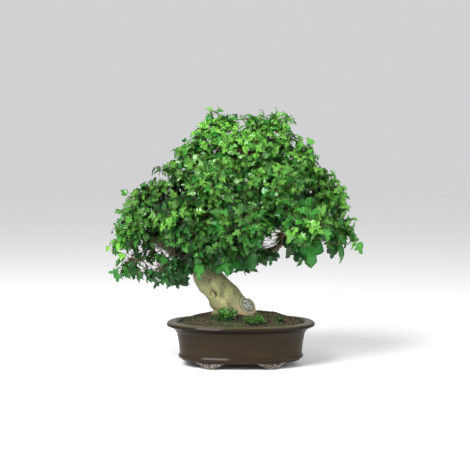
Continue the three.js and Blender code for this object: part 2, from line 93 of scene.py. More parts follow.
class Wire:  # a node's output, which adds and multiplies like a number or a vector
    def __init__(self, socket):
        self.socket, self.tree = socket, socket.id_data

    def __getitem__(self, name):  # another output of the same node
        return Wire(self.socket.node.outputs[name])

    def __add__(self, other):
        return reckon("ADD", self, other)

    def __sub__(self, other):
        return reckon("SUBTRACT", self, other)

    def __rsub__(self, other):
        return reckon("SUBTRACT", other, self)

    def __mul__(self, other):
        return reckon("MULTIPLY", self, other)

    def __truediv__(self, other):
        return reckon("DIVIDE", self, other)

    def __rtruediv__(self, other):
        return reckon("DIVIDE", other, self)


def plug(socket, value):
    if isinstance(value, Wire):
        socket.id_data.links.new(value.socket, socket)
    else:
        socket.default_value = value


def add(tree, kind, sockets=None, **settings):
    made = tree.nodes.new(kind)
    for key, value in settings.items():
        setattr(made, key, value)
    for key, value in (sockets or {}).items():
        plug(made.inputs[key], value)
    return Wire(made.outputs[0])


def reckon(operation, *values):  # on vectors where one of the values is a vector
    tree = next(v.tree for v in values if isinstance(v, Wire))
    sockets = dict(enumerate(values))
    vectors = [v.socket.type == "VECTOR" if isinstance(v, Wire) else isinstance(v, tuple) for v in values]
    if not any(vectors):
        return add(tree, "ShaderNodeMath", sockets, operation=operation)
    if operation == "MULTIPLY" and not all(vectors):
        operation = "SCALE"
        sockets = {0: values[vectors.index(True)], 3: values[vectors.index(False)]}
    made = add(tree, "ShaderNodeVectorMath", sockets, operation=operation)
    return made["Value"] if operation == "LENGTH" else made


def ramp(value, low, high, toLow=0.0, toHigh=1.0):
    return add(value.tree, "ShaderNodeMapRange", {
        "Value": value, "From Min": low, "From Max": high, "To Min": toLow, "To Max": toHigh})


def ranged(mask, low, high):
    return ramp(mask, 0.0, 1.0, low, high)


def apart(vector):
    return add(vector.tree, "ShaderNodeSeparateXYZ", {0: vector})


def attributeOf(tree, name):
    if tree.type == "SHADER":
        return add(tree, "ShaderNodeAttribute", attribute_name=name)["Fac"]
    return add(tree, "GeometryNodeInputNamedAttribute", {"Name": name}, data_type="FLOAT")


def chanceOf(tree, low, high, seed):  # a new value for each point
    kind, first, out = {tuple: ("FLOAT_VECTOR", 0, 0), int: ("INT", 4, 2)}.get(type(low), ("FLOAT", 2, 1))
    return add(tree, "FunctionNodeRandomValue", {first: low, first + 1: high, 8: seed}, data_type=kind)[out]


def newTree(name, kind, inputs, outputs):  # inputs: a start value, or the kind of socket that has none
    tree = bpy.data.node_groups.new(name, kind + "NodeTree")
    kinds = {float: "Float", int: "Int", tuple: "Vector"}
    for label, value in inputs.items():
        socketType = "NodeSocket" + kinds.get(type(value), value)
        socket = tree.interface.new_socket(label, in_out="INPUT", socket_type=socketType)
        if type(value) in kinds:
            socket.default_value = value
    for label, socketType in outputs.items():
        tree.interface.new_socket(label, in_out="OUTPUT", socket_type="NodeSocket" + socketType)
    given = Wire(tree.nodes.new("NodeGroupInput").outputs[0])
    return tree, given, tree.nodes.new("NodeGroupOutput").inputs


def growTree(name, inputs):
    return newTree(name, "Geometry", {"Geometry": "Geometry", **inputs}, {"Geometry": "Geometry"})


def dressed(geometry, material):  # made real, in one material
    whole = add(geometry.tree, "GeometryNodeRealizeInstances", {"Geometry": geometry})
    return add(geometry.tree, "GeometryNodeSetMaterial", {"Geometry": whole, "Material": material})


def smoothRuns(tree, given):
    curve = add(tree, "GeometryNodeMeshToCurve", {"Mesh": given["Geometry"]})
    return add(tree, "GeometryNodeCurveSplineType", {"Curve": curve}, spline_type="CATMULL_ROM")


def tubes(runs, step, sides):  # along the runs, as wide as each point says
    fine = add(runs.tree, "GeometryNodeResampleCurve", {"Curve": runs, "Length": step}, mode="LENGTH")
    ring = add(runs.tree, "GeometryNodeCurvePrimitiveCircle", {"Resolution": sides, "Radius": 1.0})
    return add(runs.tree, "GeometryNodeCurveToMesh", {
        "Curve": fine, "Profile Curve": ring, "Scale": attributeOf(runs.tree, "width"), "Fill Caps": True})


def stored(points, name, value):
    return add(points.tree, "GeometryNodeStoreNamedAttribute", {
        "Geometry": points, "Name": name, "Value": value}, data_type="FLOAT", domain="POINT")


def planted(points, shapes, sockets):  # one of the shapes on each point
    loose = add(points.tree, "GeometryNodeCollectionInfo", {
        "Collection": shapes, "Separate Children": True, "Reset Children": True})
    return add(points.tree, "GeometryNodeInstanceOnPoints", {
        "Points": points, "Instance": loose, "Pick Instance": True, **sockets})


# meshes

def linked(name, mesh):
    piece = bpy.data.objects.new(name, mesh)
    bpy.context.scene.collection.objects.link(piece)
    return piece


def baked(piece):  # the modifiers' result as a plain mesh
    depsgraph = bpy.context.evaluated_depsgraph_get()
    plain = bpy.data.meshes.new_from_object(
        piece.evaluated_get(depsgraph), preserve_all_data_layers=True, depsgraph=depsgraph)
    piece.modifiers.clear()
    piece.data = plain
    return piece


def grown(name, mesh, tree, values):  # a node tree run on a mesh
    piece = linked(name, mesh)
    modifier = piece.modifiers.new("Grow", "NODES")
    modifier.node_group = tree
    for item in tree.interface.items_tree:
        if item.item_type == "SOCKET" and item.in_out == "INPUT" and item.name in values:
            modifier[item.identifier] = values[item.name]
    return baked(piece)


def meshOf(name, vertices, edges, faces):
    mesh = bpy.data.meshes.new(name)
    mesh.from_pydata(vertices, edges, faces)
    return mesh


def meshFrom(name, shape):  # closes a bmesh
    mesh = bpy.data.meshes.new(name)
    shape.to_mesh(mesh)
    shape.free()
    return mesh


def runsMesh(name, runs, labels):  # rows of joined points, each a place in mm and its values
    vertices, edges, values = [], [], []
    for run in runs:
        for i, (place, *numbers) in enumerate(run):
            if i:
                edges.append((len(vertices) - 1, len(vertices)))
            vertices.append(fromPot(*place))
            values.append(numbers)
    mesh = meshOf(name, vertices, edges, [])
    for label, column in zip(labels, zip(*values)):
        addFloats(mesh, label, column)
    return mesh


def addTo(shape, mesh, slotNumber):  # a mesh's faces into a bmesh, in one of its materials
    before = len(shape.faces)
    shape.from_mesh(mesh)
    shape.faces.ensure_lookup_table()
    for face in shape.faces[before:]:
        face.material_index = slotNumber


def joinedMesh(name, meshes, materials):
    shape = bmesh.new()
    for mesh, slotNumber in meshes:
        addTo(shape, mesh, slotNumber)
    mesh = meshFrom(name, shape)
    for material in materials:
        mesh.materials.append(material)
    return mesh


def finerCopy(name, nodeName):  # a CAD solid merged, with its faces divided
    shape = bmesh.new()
    shape.from_mesh(frame["nodes"][nodeName].data)
    bmesh.ops.remove_doubles(shape, verts=shape.verts, dist=1e-6)
    piece = linked(name, meshFrom(name, shape))
    finer = piece.modifiers.new("Finer", "SUBSURF")
    finer.subdivision_type, finer.levels, finer.render_levels = "SIMPLE", 2, 2
    return baked(piece)


def vectorsOf(mesh, key):  # "co" for the places, or "normal"
    vectors = np.empty(len(mesh.vertices) * 3, np.float32)
    mesh.vertices.foreach_get(key, vectors)
    return vectors.reshape(-1, 3)


def movedTo(mesh, places):
    mesh.vertices.foreach_set("co", places.astype(np.float32).ravel())
    mesh.update()


def addFloats(mesh, name, values):
    mesh.attributes.new(name, "FLOAT", "POINT").data.foreach_set("value", values)


def shapeGroup(name, meshes):
    group = bpy.data.collections.new(name)
    bpy.context.scene.collection.children.link(group)
    for i, mesh in enumerate(meshes):
        group.objects.link(bpy.data.objects.new(f"{name}{i}", mesh))
    return group


def cleared(group):
    for shape in list(group.objects):
        bpy.data.objects.remove(shape)
    bpy.data.collections.remove(group)


def triangle(radius):  # the section of a thin stem
    return [(radius * math.cos(i * math.tau / 3), radius * math.sin(i * math.tau / 3)) for i in range(3)]


# shared shader effects

def blotchTree():  # soft uneven patches, 0 to 1
    tree, given, out = newTree("Blotches", "Shader", {
        "Scale": 20.0, "Detail": 4.0, "From": 0.4, "To": 0.6, "Stretch": (1, 1, 1)}, {"Mask": "Float"})
    place = add(tree, "ShaderNodeTexCoord")["Object"]
    cloud = add(tree, "ShaderNodeTexNoise", {
        "Vector": place * given["Stretch"], "Scale": given["Scale"], "Detail": given["Detail"],
        "Roughness": 0.6})
    plug(out["Mask"], ramp(cloud, given["From"], given["To"]))
    return tree


def fleckTree():  # small specks, 1 inside a speck
    tree, given, out = newTree(
        "Flecks", "Shader", {"Scale": 300.0, "Size": 0.25, "Share": 0.3}, {"Mask": "Float"})
    place = add(tree, "ShaderNodeTexCoord")["Object"]
    cells = add(tree, "ShaderNodeTexVoronoi", {"Vector": place, "Scale": given["Scale"]})
    tone = add(tree, "ShaderNodeSeparateColor", {0: cells["Color"]})
    chosen = reckon("LESS_THAN", tone, given["Share"])
    plug(out["Mask"], ramp(cells["Distance"], given["Size"], 0.0) * chosen)
    return tree


def veinTree():  # midrib and side veins of a leaf, from its plan
    tree, given, out = newTree(
        "Leaf Veins", "Shader", {"Width": 0.018, "Pairs": 6.0},
        {"Veins": "Float", "Underside": "Float", "Stalk": "Float"})
    plan = apart(add(tree, "ShaderNodeAttribute", attribute_name="leafPlan")["Vector"])
    across = reckon("ABSOLUTE", plan[0] - 0.5)
    under = reckon("GREATER_THAN", plan[1], 1.5)  # the plan of the underside lies 2 further up
    along = plan[1] - under * 2.0
    midrib = ramp(across, given["Width"], given["Width"] * 0.3)
    gap = reckon("ABSOLUTE", reckon("FRACT", (along - across * 0.85) * given["Pairs"]) - 0.5)
    side = ramp(gap, given["Width"] * 4.0, 0.0, 0.0, 0.6)
    plug(out["Veins"], reckon("MAXIMUM", midrib, side))
    plug(out["Underside"], under)
    plug(out["Stalk"], reckon("LESS_THAN", plan[1], -0.3))
    return tree


blotches, flecks, veins = blotchTree(), fleckTree(), veinTree()


def useBlotches(tree, scale, low, high, stretch=(1, 1, 1)):
    return add(tree, "ShaderNodeGroup", {
        "Scale": scale, "From": low, "To": high, "Stretch": stretch}, node_tree=blotches)


def useFlecks(tree, scale, size, share):
    return add(tree, "ShaderNodeGroup", {"Scale": scale, "Size": size, "Share": share}, node_tree=flecks)


def mixed(factor, first, second):
    return add(factor.tree, "ShaderNodeMix", {0: factor, 6: first, 7: second}, data_type="RGBA")[2]


def layered(colour, *layers):  # each layer: where it lies, and its colour
    for mask, top in layers:
        colour = mixed(mask, colour, top)
    return colour


def heightOf(tree):
    return apart(add(tree, "ShaderNodeTexCoord")["Object"])[2]


def finish(name, build, **constant):  # a material: build gives the linked sockets, constant the rest
    material = bpy.data.materials.new(name)
    material.use_nodes = True
    tree = material.node_tree
    shader = next(n for n in tree.nodes if n.type == "BSDF_PRINCIPLED")
    for key, value in constant.items():
        shader.inputs[key].default_value = value
    sockets = build(tree)
    height, depth = sockets.pop("Height")
    sockets["Normal"] = add(tree, "ShaderNodeBump", {"Height": height, "Strength": 1.0, "Distance": depth})
    for key, value in sockets.items():
        plug(shader.inputs[key], value)
    return material


def twoTone(name, scale, first, second, rough, depth):  # uneven patches of two colours
    def colours(tree):
        patch = useBlotches(tree, scale, 0.35, 0.65)
        return {"Base Color": mixed(patch, first, second), "Roughness": ranged(patch, *rough),
                "Height": (patch, depth)}
    return finish(name, colours)


# leafy sprays; a twig has its first and last width, in twigWidth; lengths in the lists are in mm
leaves = {
    "spacing": 0.0016, "spacingPerLeaf": 0.20, "sizeSpread": 0.36, "bareShare": 0.4,
    "twigWidth": 0.00085, "boughs": (1.9, 0.9), "twigs": (1.2, 0.7), "shoots": (1.8, 0.8),
    "bareTwigs": (1.8, 1.0), "boughEvery": 5, "boughReach": (0.74, 0.95), "twigReach": (0.78, 1.04),
    "buriedLost": 0.8, "twigSag": 0.08, "stemStep": 0.009, "stemSides": 5,
    "outward": 0.55, "upward": 0.2, "faceTurn": ((-0.9, -1.1, -0.5), (0.9, 0.7, 0.8)), "axisTurn": 0.5,
    "footSize": 1.12, "tipLoss": 0.3, "shade": (0.05, 0.52), "youngest": 0.85,
    # share of the bright leaf colour: it grows upwards as painted light and out to the sides, falls in the
    # shadows as painted shade, and twig tips and chance add the young leaves
    "youth": {"from": 420, "over": 280, "middle": 0.52, "upwards": 0.85, "aside": 600,
              "limits": (0.25, 1.5), "shaded": 0.8},
    "twig": paint(124, 98, 68), "twigDark": paint(66, 52, 38),
    "stalk": paint(140, 160, 74), "dark": paint(10, 66, 28), "mid": paint(38, 177, 46),
    # inner is painted shade for leaves deep in the crown and in the shadows; rimShade and innerShade below
    # say how much painted shade goes on
    "bright": paint(150, 235, 82), "inner": paint(5, 20, 8), "vein": paint(120, 176, 90),
    "under": paint(78, 152, 60), "rimShade": 0.55, "innerShade": 0.85, "patchShade": 0.25,
    "crownMiddle": (-20, 0, 420), "crownReach": (345, 235, 285), "leafAngle": (0.55, 0.75),
    # thin places, right through the crown: x, z, half width, half height, share of bare twigs
    "clearings": [
        (98, 346, 66, 46, 0.88), (52, 330, 26, 34, 0.7), (-252, 300, 66, 44, 0.7), (222, 350, 34, 38, 0.9),
        (162, 328, 14, 22, 0.7), (74, 292, 44, 20, 1.0), (-200, 386, 30, 16, 0.8), (-4, 356, 26, 18, 0.6),
        (-15, 636, 12, 12, 0.7), (16, 588, 14, 13, 0.9), (24, 470, 20, 14, 0.6), (112, 438, 22, 13, 0.8),
        (-206, 448, 16, 14, 0.85), (-128, 470, 13, 12, 0.7), (-61, 592, 13, 12, 0.8),
        (249, 414, 18, 14, 0.9), (195, 490, 14, 14, 0.8), (-282, 330, 22, 18, 0.9), (-84, 290, 20, 34, 0.9),
        (-128, 330, 20, 18, 0.8), (-88, 424, 14, 12, 0.7)],
    # places in deep shade, likewise, with how dark they are
    "shadows": [
        (-212, 272, 116, 70, 0.9), (98, 340, 54, 42, 0.8), (-150, 392, 44, 26, 0.6),
        (-262, 336, 44, 24, 0.7), (112, 436, 36, 22, 0.6), (-206, 446, 26, 22, 0.7)],
    "through": 420, "inset": 5e-4,
}


def sprayOf(at, size, tips, leaf, limb, along, droop=0.5, shoots=(), edges=(), bare=(), hung=()):
    return dict(at=at, size=size, tips=tips, leaf=leaf, limb=limb, along=along, droop=droop,
                shoots=shoots, edges=edges, bare=bare, hung=hung)


# In each row: the middle, the half sizes, how many twig tips, the leaf length, the limb that it grows
# from and how far along it. Shoots run out beyond the spray, and edges are rows of them: start, end and
# how many. Bare twigs have no leaves, and hung leaves are set one by one: foot of the stalk, length,
# facing, way it hangs, outline, tone, and its share of the bright colour, for youth and painted light.
sprays = {
    "apex_left": sprayOf((-58, -12, 620), (64, 64, 60), 90, 18, "leader", 0.88, droop=0.05,
        shoots=[(-84, -22, 702), (-62, -30, 700)], edges=[((-112, -30, 662), (-4, -4, 690), 14)]),
    "apex_right": sprayOf((74, -4, 616), (74, 70, 62), 100, 18, "leader", 0.9, droop=0.05,
        shoots=[(60, -26, 694), (96, -10, 694)], edges=[((0, -30, 682), (150, -4, 684), 17)]),
    "apex_front": sprayOf((8, -84, 576), (80, 58, 60), 102, 19, "leader", 0.86, droop=0.25),
    "apex_back": sprayOf((6, 78, 580), (88, 66, 64), 98, 20, "leader", 0.84, droop=0.25),
    "upper_left": sprayOf((-128, -20, 540), (64, 76, 66), 102, 20, "leader", 0.66, droop=0.25,
        shoots=[(-222, -20, 532), (-232, -26, 540)],
        edges=[((-176, -36, 584), (-112, -24, 648), 9), ((-196, -40, 524), (-168, -36, 470), 9)]),
    "upper_right": sprayOf((148, -10, 532), (74, 82, 68), 102, 20, "leader", 0.68, droop=0.3,
        shoots=[(196, -20, 606), (182, -34, 600)], edges=[((154, -20, 640), (206, -24, 560), 9)]),
    "upper_front_left": sprayOf((-62, -128, 500), (84, 64, 66), 110, 21, "leader", 0.6, droop=0.4),
    "upper_front_right": sprayOf((76, -130, 490), (84, 64, 66), 110, 22, "leader", 0.62, droop=0.4),
    "upper_back_left": sprayOf((-78, 122, 512), (90, 68, 70), 102, 24, "leader", 0.58, droop=0.4),
    "upper_back_right": sprayOf((88, 124, 502), (90, 68, 70), 102, 25, "leader", 0.63, droop=0.4),
    "left_shoulder": sprayOf((-224, -22, 434), (80, 84, 64), 112, 21, "leftArm", 0.55, droop=0.3,
        shoots=[(-306, -30, 466)], edges=[((-200, -50, 516), (-286, -44, 486), 8)]),
    "left_tip": sprayOf((-276, -16, 368), (68, 76, 62), 93, 22, "leftArm", 1, droop=0.4,
        shoots=[(-358, -26, 330), (-352, -20, 316), (-328, -10, 426)]),
    "right_shoulder": sprayOf((220, -14, 450), (66, 82, 66), 105, 23, "rightArm", 0.8, droop=0.35,
        shoots=[(276, -10, 492)], edges=[((208, -30, 540), (266, -20, 512), 8)]),
    "right_tip": sprayOf((238, 8, 376), (66, 80, 48), 48, 31, "rightArm", 1,
        shoots=[(318, 4, 340), (268, -14, 322), (306, 0, 400)]),
    "middle_front_left": sprayOf((-146, -134, 406), (86, 66, 68), 110, 24, "frontArm", 0.5),
    "middle_front": sprayOf((0, -158, 398), (86, 56, 68), 105, 27, "frontArm", 1),
    "middle_front_right": sprayOf((134, -130, 392), (86, 66, 68), 93, 31, "rightArm", 0.62),
    "middle_back_left": sprayOf((-156, 122, 412), (92, 76, 72), 102, 26, "backArm", 0.5),
    "middle_back": sprayOf((0, 172, 410), (90, 58, 72), 95, 28, "backArm", 1),
    "middle_back_right": sprayOf((158, 126, 402), (92, 76, 72), 95, 29, "backArm", 0.72),
    "low_left_tip": sprayOf((-270, -10, 288), (68, 76, 48), 54, 24, "leftArm", 0.72,
        shoots=[(-334, -40, 258)]),
    "low_left": sprayOf((-188, -50, 280), (62, 70, 46), 50, 25, "leftArm", 0.5),
    "low_left_back": sprayOf((-188, 80, 306), (80, 68, 52), 68, 26, "leftArm", 0.42),
    "low_front": sprayOf((-74, -106, 326), (72, 54, 46), 78, 27, "frontArm", 0.4,
        bare=[(-104, -136, 294), (-54, -142, 306), (-9, -132, 305)],
        hung=[((-104, -136, 294), 40, (-0.6, -0.75, 0.3), (-0.1, 0, -1), "threeLobed", 0.45, 0.12),
              ((-54, -142, 306), 43, (0.45, -0.75, 0.45), (0.35, 0, -1), "fiveLobed", 0.5, 0.14),
              ((-9, -132, 305), 40, (-0.35, -0.8, 0.5), (-0.4, 0, -1), "threeLobed", 0.25, 0.05)]),
    "low_middle": sprayOf((10, -66, 314), (42, 46, 34), 34, 29, "rightArm", 0.34, shoots=[(82, -80, 316)],
        bare=[(22, -110, 316), (79, -84, 312)],
        hung=[((22, -110, 316), 40, (0.55, -0.8, 0.3), (0.3, 0, -1), "plain", 0.35, 0.05),
              ((79, -84, 312), 27, (0.2, -0.95, 0.1), (0, 0, -1), "deepLobed", 0.3, 0)]),
    "low_right": sprayOf((182, -56, 352), (48, 50, 30), 15, 42, "rightArm", 0.7,
        bare=[(183, -112, 360), (165, -96, 330), (242, -50, 334), (262, -40, 334)],
        hung=[((183, -112, 360), 67, (0.1, -0.9, 0.3), (0.02, 0, -1), "threeLobed", 0.55, 0.05),
              ((165, -96, 330), 36, (-0.2, -0.9, 0.2), (-0.5, 0, -1), "fiveLobed", 0.2, 0),
              ((242, -50, 334), 32, (0.3, -0.9, 0.2), (0.1, 0, -1), "fiveLobed", 0.1, 0),
              ((262, -40, 334), 46, (0.85, -0.5, 0.25), (0.45, 0, -0.9), "plain", 0.5, 0)]),
    "low_back": sprayOf((24, 110, 330), (84, 66, 46), 66, 28, "backArm", 0.45),
}

# half outlines of the blade, from its base to its tip, in leaf lengths; the last but one is a notch
halfBlades = {
    "fiveLobed": [(0.12, -0.07), (0.32, -0.07), (0.41, 0.08), (0.21, 0.20), (0.46, 0.33), (0.47, 0.47),
                  (0.18, 0.54), (0.21, 0.80)],
    "threeLobed": [(0.15, -0.08), (0.35, -0.05), (0.43, 0.10), (0.47, 0.24), (0.50, 0.40), (0.38, 0.50),
                   (0.19, 0.55), (0.22, 0.78)],
    "plain": [(0.16, -0.08), (0.34, -0.02), (0.43, 0.16), (0.43, 0.34), (0.36, 0.52), (0.24, 0.73)],
    "deepLobed": [(0.10, -0.05), (0.28, -0.08), (0.38, 0.04), (0.14, 0.18), (0.42, 0.34), (0.44, 0.47),
                  (0.12, 0.52), (0.19, 0.77)],
}
leafPairs = [("fiveLobed", "fiveLobed"), ("threeLobed", "threeLobed"), ("plain", "threeLobed"),
             ("deepLobed", "deepLobed"), ("fiveLobed", "deepLobed"), ("threeLobed", "fiveLobed"),
             ("deepLobed", "threeLobed")]
blade = {"stalk": 0.22, "stalkWidth": 0.02, "stalkDrop": 0.012, "thickness": 0.022, "innerLow": 0.22,
         "innerHigh": 0.62, "crease": 0.55, "roll": 0.7, "sag": 0.32, "ripple": 0.05}


def leafColours(tree):
    vein = add(tree, "ShaderNodeGroup", node_tree=veins)
    patch = useBlotches(tree, 90.0, 0.35, 0.7)
    # painted shade: rim darkens each leaf towards its edge, standing in for shade between leaves, and shadow
    # turns deeper leaves towards the inner colour
    rim = ramp(attributeOf(tree, "heart"), 0.4, 0.0)
    shadow = ramp(attributeOf(tree, "depth"), 1.0, 0.6)
    # the bright layer is young leaves and painted light near the top of the crown
    colour = layered(
        leaves["dark"], (attributeOf(tree, "tone"), leaves["mid"]),
        (attributeOf(tree, "young"), leaves["bright"]), (rim * leaves["rimShade"], leaves["dark"]),
        (shadow * leaves["innerShade"], leaves["inner"]),
        (vein["Veins"] * 0.35, leaves["vein"]), (vein["Underside"] * 0.55, leaves["under"]),
        (vein["Stalk"], leaves["stalk"]), (patch * leaves["patchShade"], leaves["dark"]))
    blister = vein["Veins"] * -0.6 + useBlotches(tree, 320.0, 0.3, 0.7)
    glossy = useBlotches(tree, 210.0, 0.42, 0.6) * (1.0 - rim)
    return {"Base Color": colour, "Roughness": ranged(reckon("MAXIMUM", patch, vein["Underside"]), 0.2, 0.5),
            "Coat Weight": ranged(glossy, 0.1, 1.0), "Height": (blister, 0.003)}


def bladeHeight(x, y):
    return (blade["crease"] * abs(x) - blade["roll"] * x * x - blade["sag"] * y * y
            + blade["ripple"] * abs(x) * math.sin(9 * y + 2))


def leafMesh(name, right, left):  # a thin lens on the outline, with a stalk
    right, left = halfBlades[right], halfBlades[left]
    rim = [(0, 0), *right, (0, 1), *[(-x, y) for x, y in reversed(left)]]
    tip, count = len(right) + 1, len(rim)
    vertices = [(x, y + blade["stalk"], bladeHeight(x, y)) for x, y in rim]
    plan = [(x + 0.5, y) for x, y in rim]
    for lift in (0.5, -0.5):
        for y in (blade["innerLow"], blade["innerHigh"]):
            vertices.append((0, y + blade["stalk"], bladeHeight(0, y) + lift * blade["thickness"]))
            plan.append((0.5, y))
    faces, sides = [], []
    for side in (0, 1):
        low, high = count + 2 * side, count + 2 * side + 1
        made = [(i, (i + 1) % count, high if tip - 2 <= i < tip + 2 else low) for i in range(count)]
        made += [(tip - 2, high, low), (tip + 2, low, high)]
        faces += [face if side == 0 else face[::-1] for face in made]
        sides += [side] * len(made)
    for y, width in ((0, 0.8), (blade["stalk"] + 0.05, 1)):
        for x, z in triangle(width * blade["stalkWidth"]):
            vertices.append((x, y, z - blade["stalkDrop"]))
            plan.append((0.5, -0.5))
    foot = count + 4
    faces += [(foot, foot + 1, foot + 2), (foot + 5, foot + 4, foot + 3)]
    faces += [(foot + i, foot + i + 3, foot + (i + 1) % 3 + 3, foot + (i + 1) % 3) for i in range(3)]
    sides += [0] * 5
    mesh = meshOf(name, vertices, [], faces)
    layer = mesh.uv_layers.new(name="leafPlan")
    for face, side in zip(mesh.polygons, sides):
        for corner in face.loop_indices:
            u, v = plan[mesh.loops[corner].vertex_index]
            layer.data[corner].uv = (u, v + 2 * side)
    mesh.polygons.foreach_set("use_smooth", [True] * len(mesh.polygons))
    for edge in mesh.edges:
        edge.use_edge_sharp = max(edge.vertices) < count
    addFloats(mesh, "heart", [float(i >= count) for i in range(len(vertices))])
    return mesh


def sprayTree():  # twigs along the given runs, with leaves on alternate sides
    tree, given, out = growTree("Leafy Spray", {
        "Leaf Spacing": 0.012, "Size Spread": 0.3, "Droop": 0.5, "Outward": 0.6, "Upward": 0.5,
        "Bare Share": 0.4, "Crown Middle": (0, 0, 0), "Crown Reach": (1, 1, 1), "Leaf Shapes": "Collection",
        "Leaf Finish": "Material", "Twig Finish": "Material", "Seed": 1})
    runs, seed = smoothRuns(tree, given), given["Seed"]
    stations = add(tree, "GeometryNodeCurveToPoints", {
        "Curve": runs, "Length": given["Leaf Spacing"]}, mode="LENGTH")
    # depth sets the painted shade: 1 on the crown's skin, less deeper in and in the listed shadows, where
    # leaves are painted darker
    fromMiddle = (add(tree, "GeometryNodeInputPosition") - given["Crown Middle"]) / given["Crown Reach"]
    flat = apart(fromMiddle)
    below = reckon("MAXIMUM", flat[2] * 1.3, flat[2] * -1.5)
    depth = reckon("LENGTH", add(tree, "ShaderNodeCombineXYZ", {0: flat[0], 1: flat[1], 2: below}))
    depth -= attributeOf(tree, "shade") * chanceOf(tree, *leaves["shade"], 23)  # 1 on the crown's skin

    outwards = reckon("NORMALIZE", fromMiddle / given["Crown Reach"])
    tangent, reach = stations["Tangent"], attributeOf(tree, "reach")
    side = reckon("MODULO", add(tree, "GeometryNodeInputIndex"), 2.0) * 2.0 - 1.0
    sideways = reckon("NORMALIZE", reckon("CROSS_PRODUCT", tangent, outwards)) * side
    faceJitter = chanceOf(tree, *leaves["faceTurn"], seed)
    level = reckon("NORMALIZE", outwards * (1, 1, 0.3))
    facing = reckon("NORMALIZE", level * given["Outward"] + given["Upward"] * (0, 0, 1) + faceJitter)
    axisJitter = chanceOf(tree, (-leaves["axisTurn"],) * 3, (leaves["axisTurn"],) * 3, seed + 7.0)
    forwards, aside = leaves["leafAngle"]
    axis = (tangent * forwards + sideways * aside) + (given["Droop"] * (0, 0, -1) + axisJitter)
    turn = add(tree, "FunctionNodeAxesToRotation", {0: facing, 1: axis}, primary_axis="Z", secondary_axis="Y")
    spread = chanceOf(tree, -1.0, 1.0, seed + 11.0) * given["Size Spread"] + 1.0
    size = attributeOf(tree, "leafSize") * spread

    # painted light: runs high in the crown get paler tones and more of the bright colour, which also marks
    # young leaves towards twig tips
    palest = ramp(attributeOf(tree, "youth"), 0.7, 1.4, 0.0, 0.75)
    youth = attributeOf(tree, "youth") * (reach * chanceOf(tree, 0.0, 1.4, seed + 17.0))
    points = stored(stations["Points"], "depth", depth)
    points = stored(points, "tone", chanceOf(tree, palest, 1.0, seed + 13.0))
    points = stored(points, "young", reckon("MINIMUM", youth, leaves["youngest"]))
    bears = reckon("GREATER_THAN", attributeOf(tree, "bears"), 0.5)
    leafy = planted(points, given["Leaf Shapes"], {
        "Selection": reckon("GREATER_THAN", reach, given["Bare Share"]) * bears,
        "Instance Index": chanceOf(tree, 0, len(leafPairs) - 1, seed + 19.0),
        "Rotation": turn, "Scale": size * (leaves["footSize"] - reach * leaves["tipLoss"])})
    stems = dressed(tubes(runs, leaves["stemStep"], leaves["stemSides"]), given["Twig Finish"])
    both = add(tree, "GeometryNodeJoinGeometry", {0: stems})
    plug(both.socket.node.inputs[0], dressed(leafy, given["Leaf Finish"]))
    plug(out["Geometry"], both)
    return tree


def evenWays(count, chance):  # directions spread evenly over a ball
    ways = []
    for i in range(count):
        height = 1 - 2 * (i + 0.5) / count
        angle = i * 2.39996 + chance.uniform(-0.25, 0.25)
        flat = math.sqrt(1 - height * height)
        ways.append(Vector((flat * math.cos(angle), flat * math.sin(angle), height)))
    return ways


def bent(start, end, lift, steps):
    middle = (start + end) / 2 + Vector((0, 0, lift))
    ts = [i / steps for i in range(steps + 1)]
    return [start * (1 - t) ** 2 + middle * 2 * t * (1 - t) + end * t * t for t in ts]


def onWay(spray, way, share):
    return Vector(spray["at"]) + Vector([w * s * share for w, s in zip(way, spray["size"])])


def reachOf(place, middle, size):  # how far out a place lies in an ellipsoid, 1 on its skin
    return Vector([(p - m) / s for p, m, s in zip(place, middle, size)]).length


def isBuried(spray, way):  # faces the inside of the crown, or lies in another spray
    fromMiddle = (Vector(spray["at"]) - Vector(leaves["crownMiddle"])).normalized()
    place = onWay(spray, way, 0.95)
    return fromMiddle.dot(way) < -0.3 or any(
        other is not spray and reachOf(place, other["at"], other["size"]) < 0.78 for other in sprays.values())


def shareAt(places, place):  # how bare or how dark it is at a place
    through = leaves["through"]
    return next((share for x, z, wide, high, share in places
                 if reachOf(place, (x, 0, z), (wide, through, high)) < 1), 0)


def insideCrown(tip, margin):  # keeps a twig's tip a leaf away from the crown's limits
    low = (cadLow - potMiddle) * 1000 + Vector((margin, margin, 0))
    high = (cadHigh - potMiddle) * 1000 - Vector((margin, margin, margin * 0.8))
    return Vector([min(max(t, a), b) for t, a, b in zip(tip, low, high)])


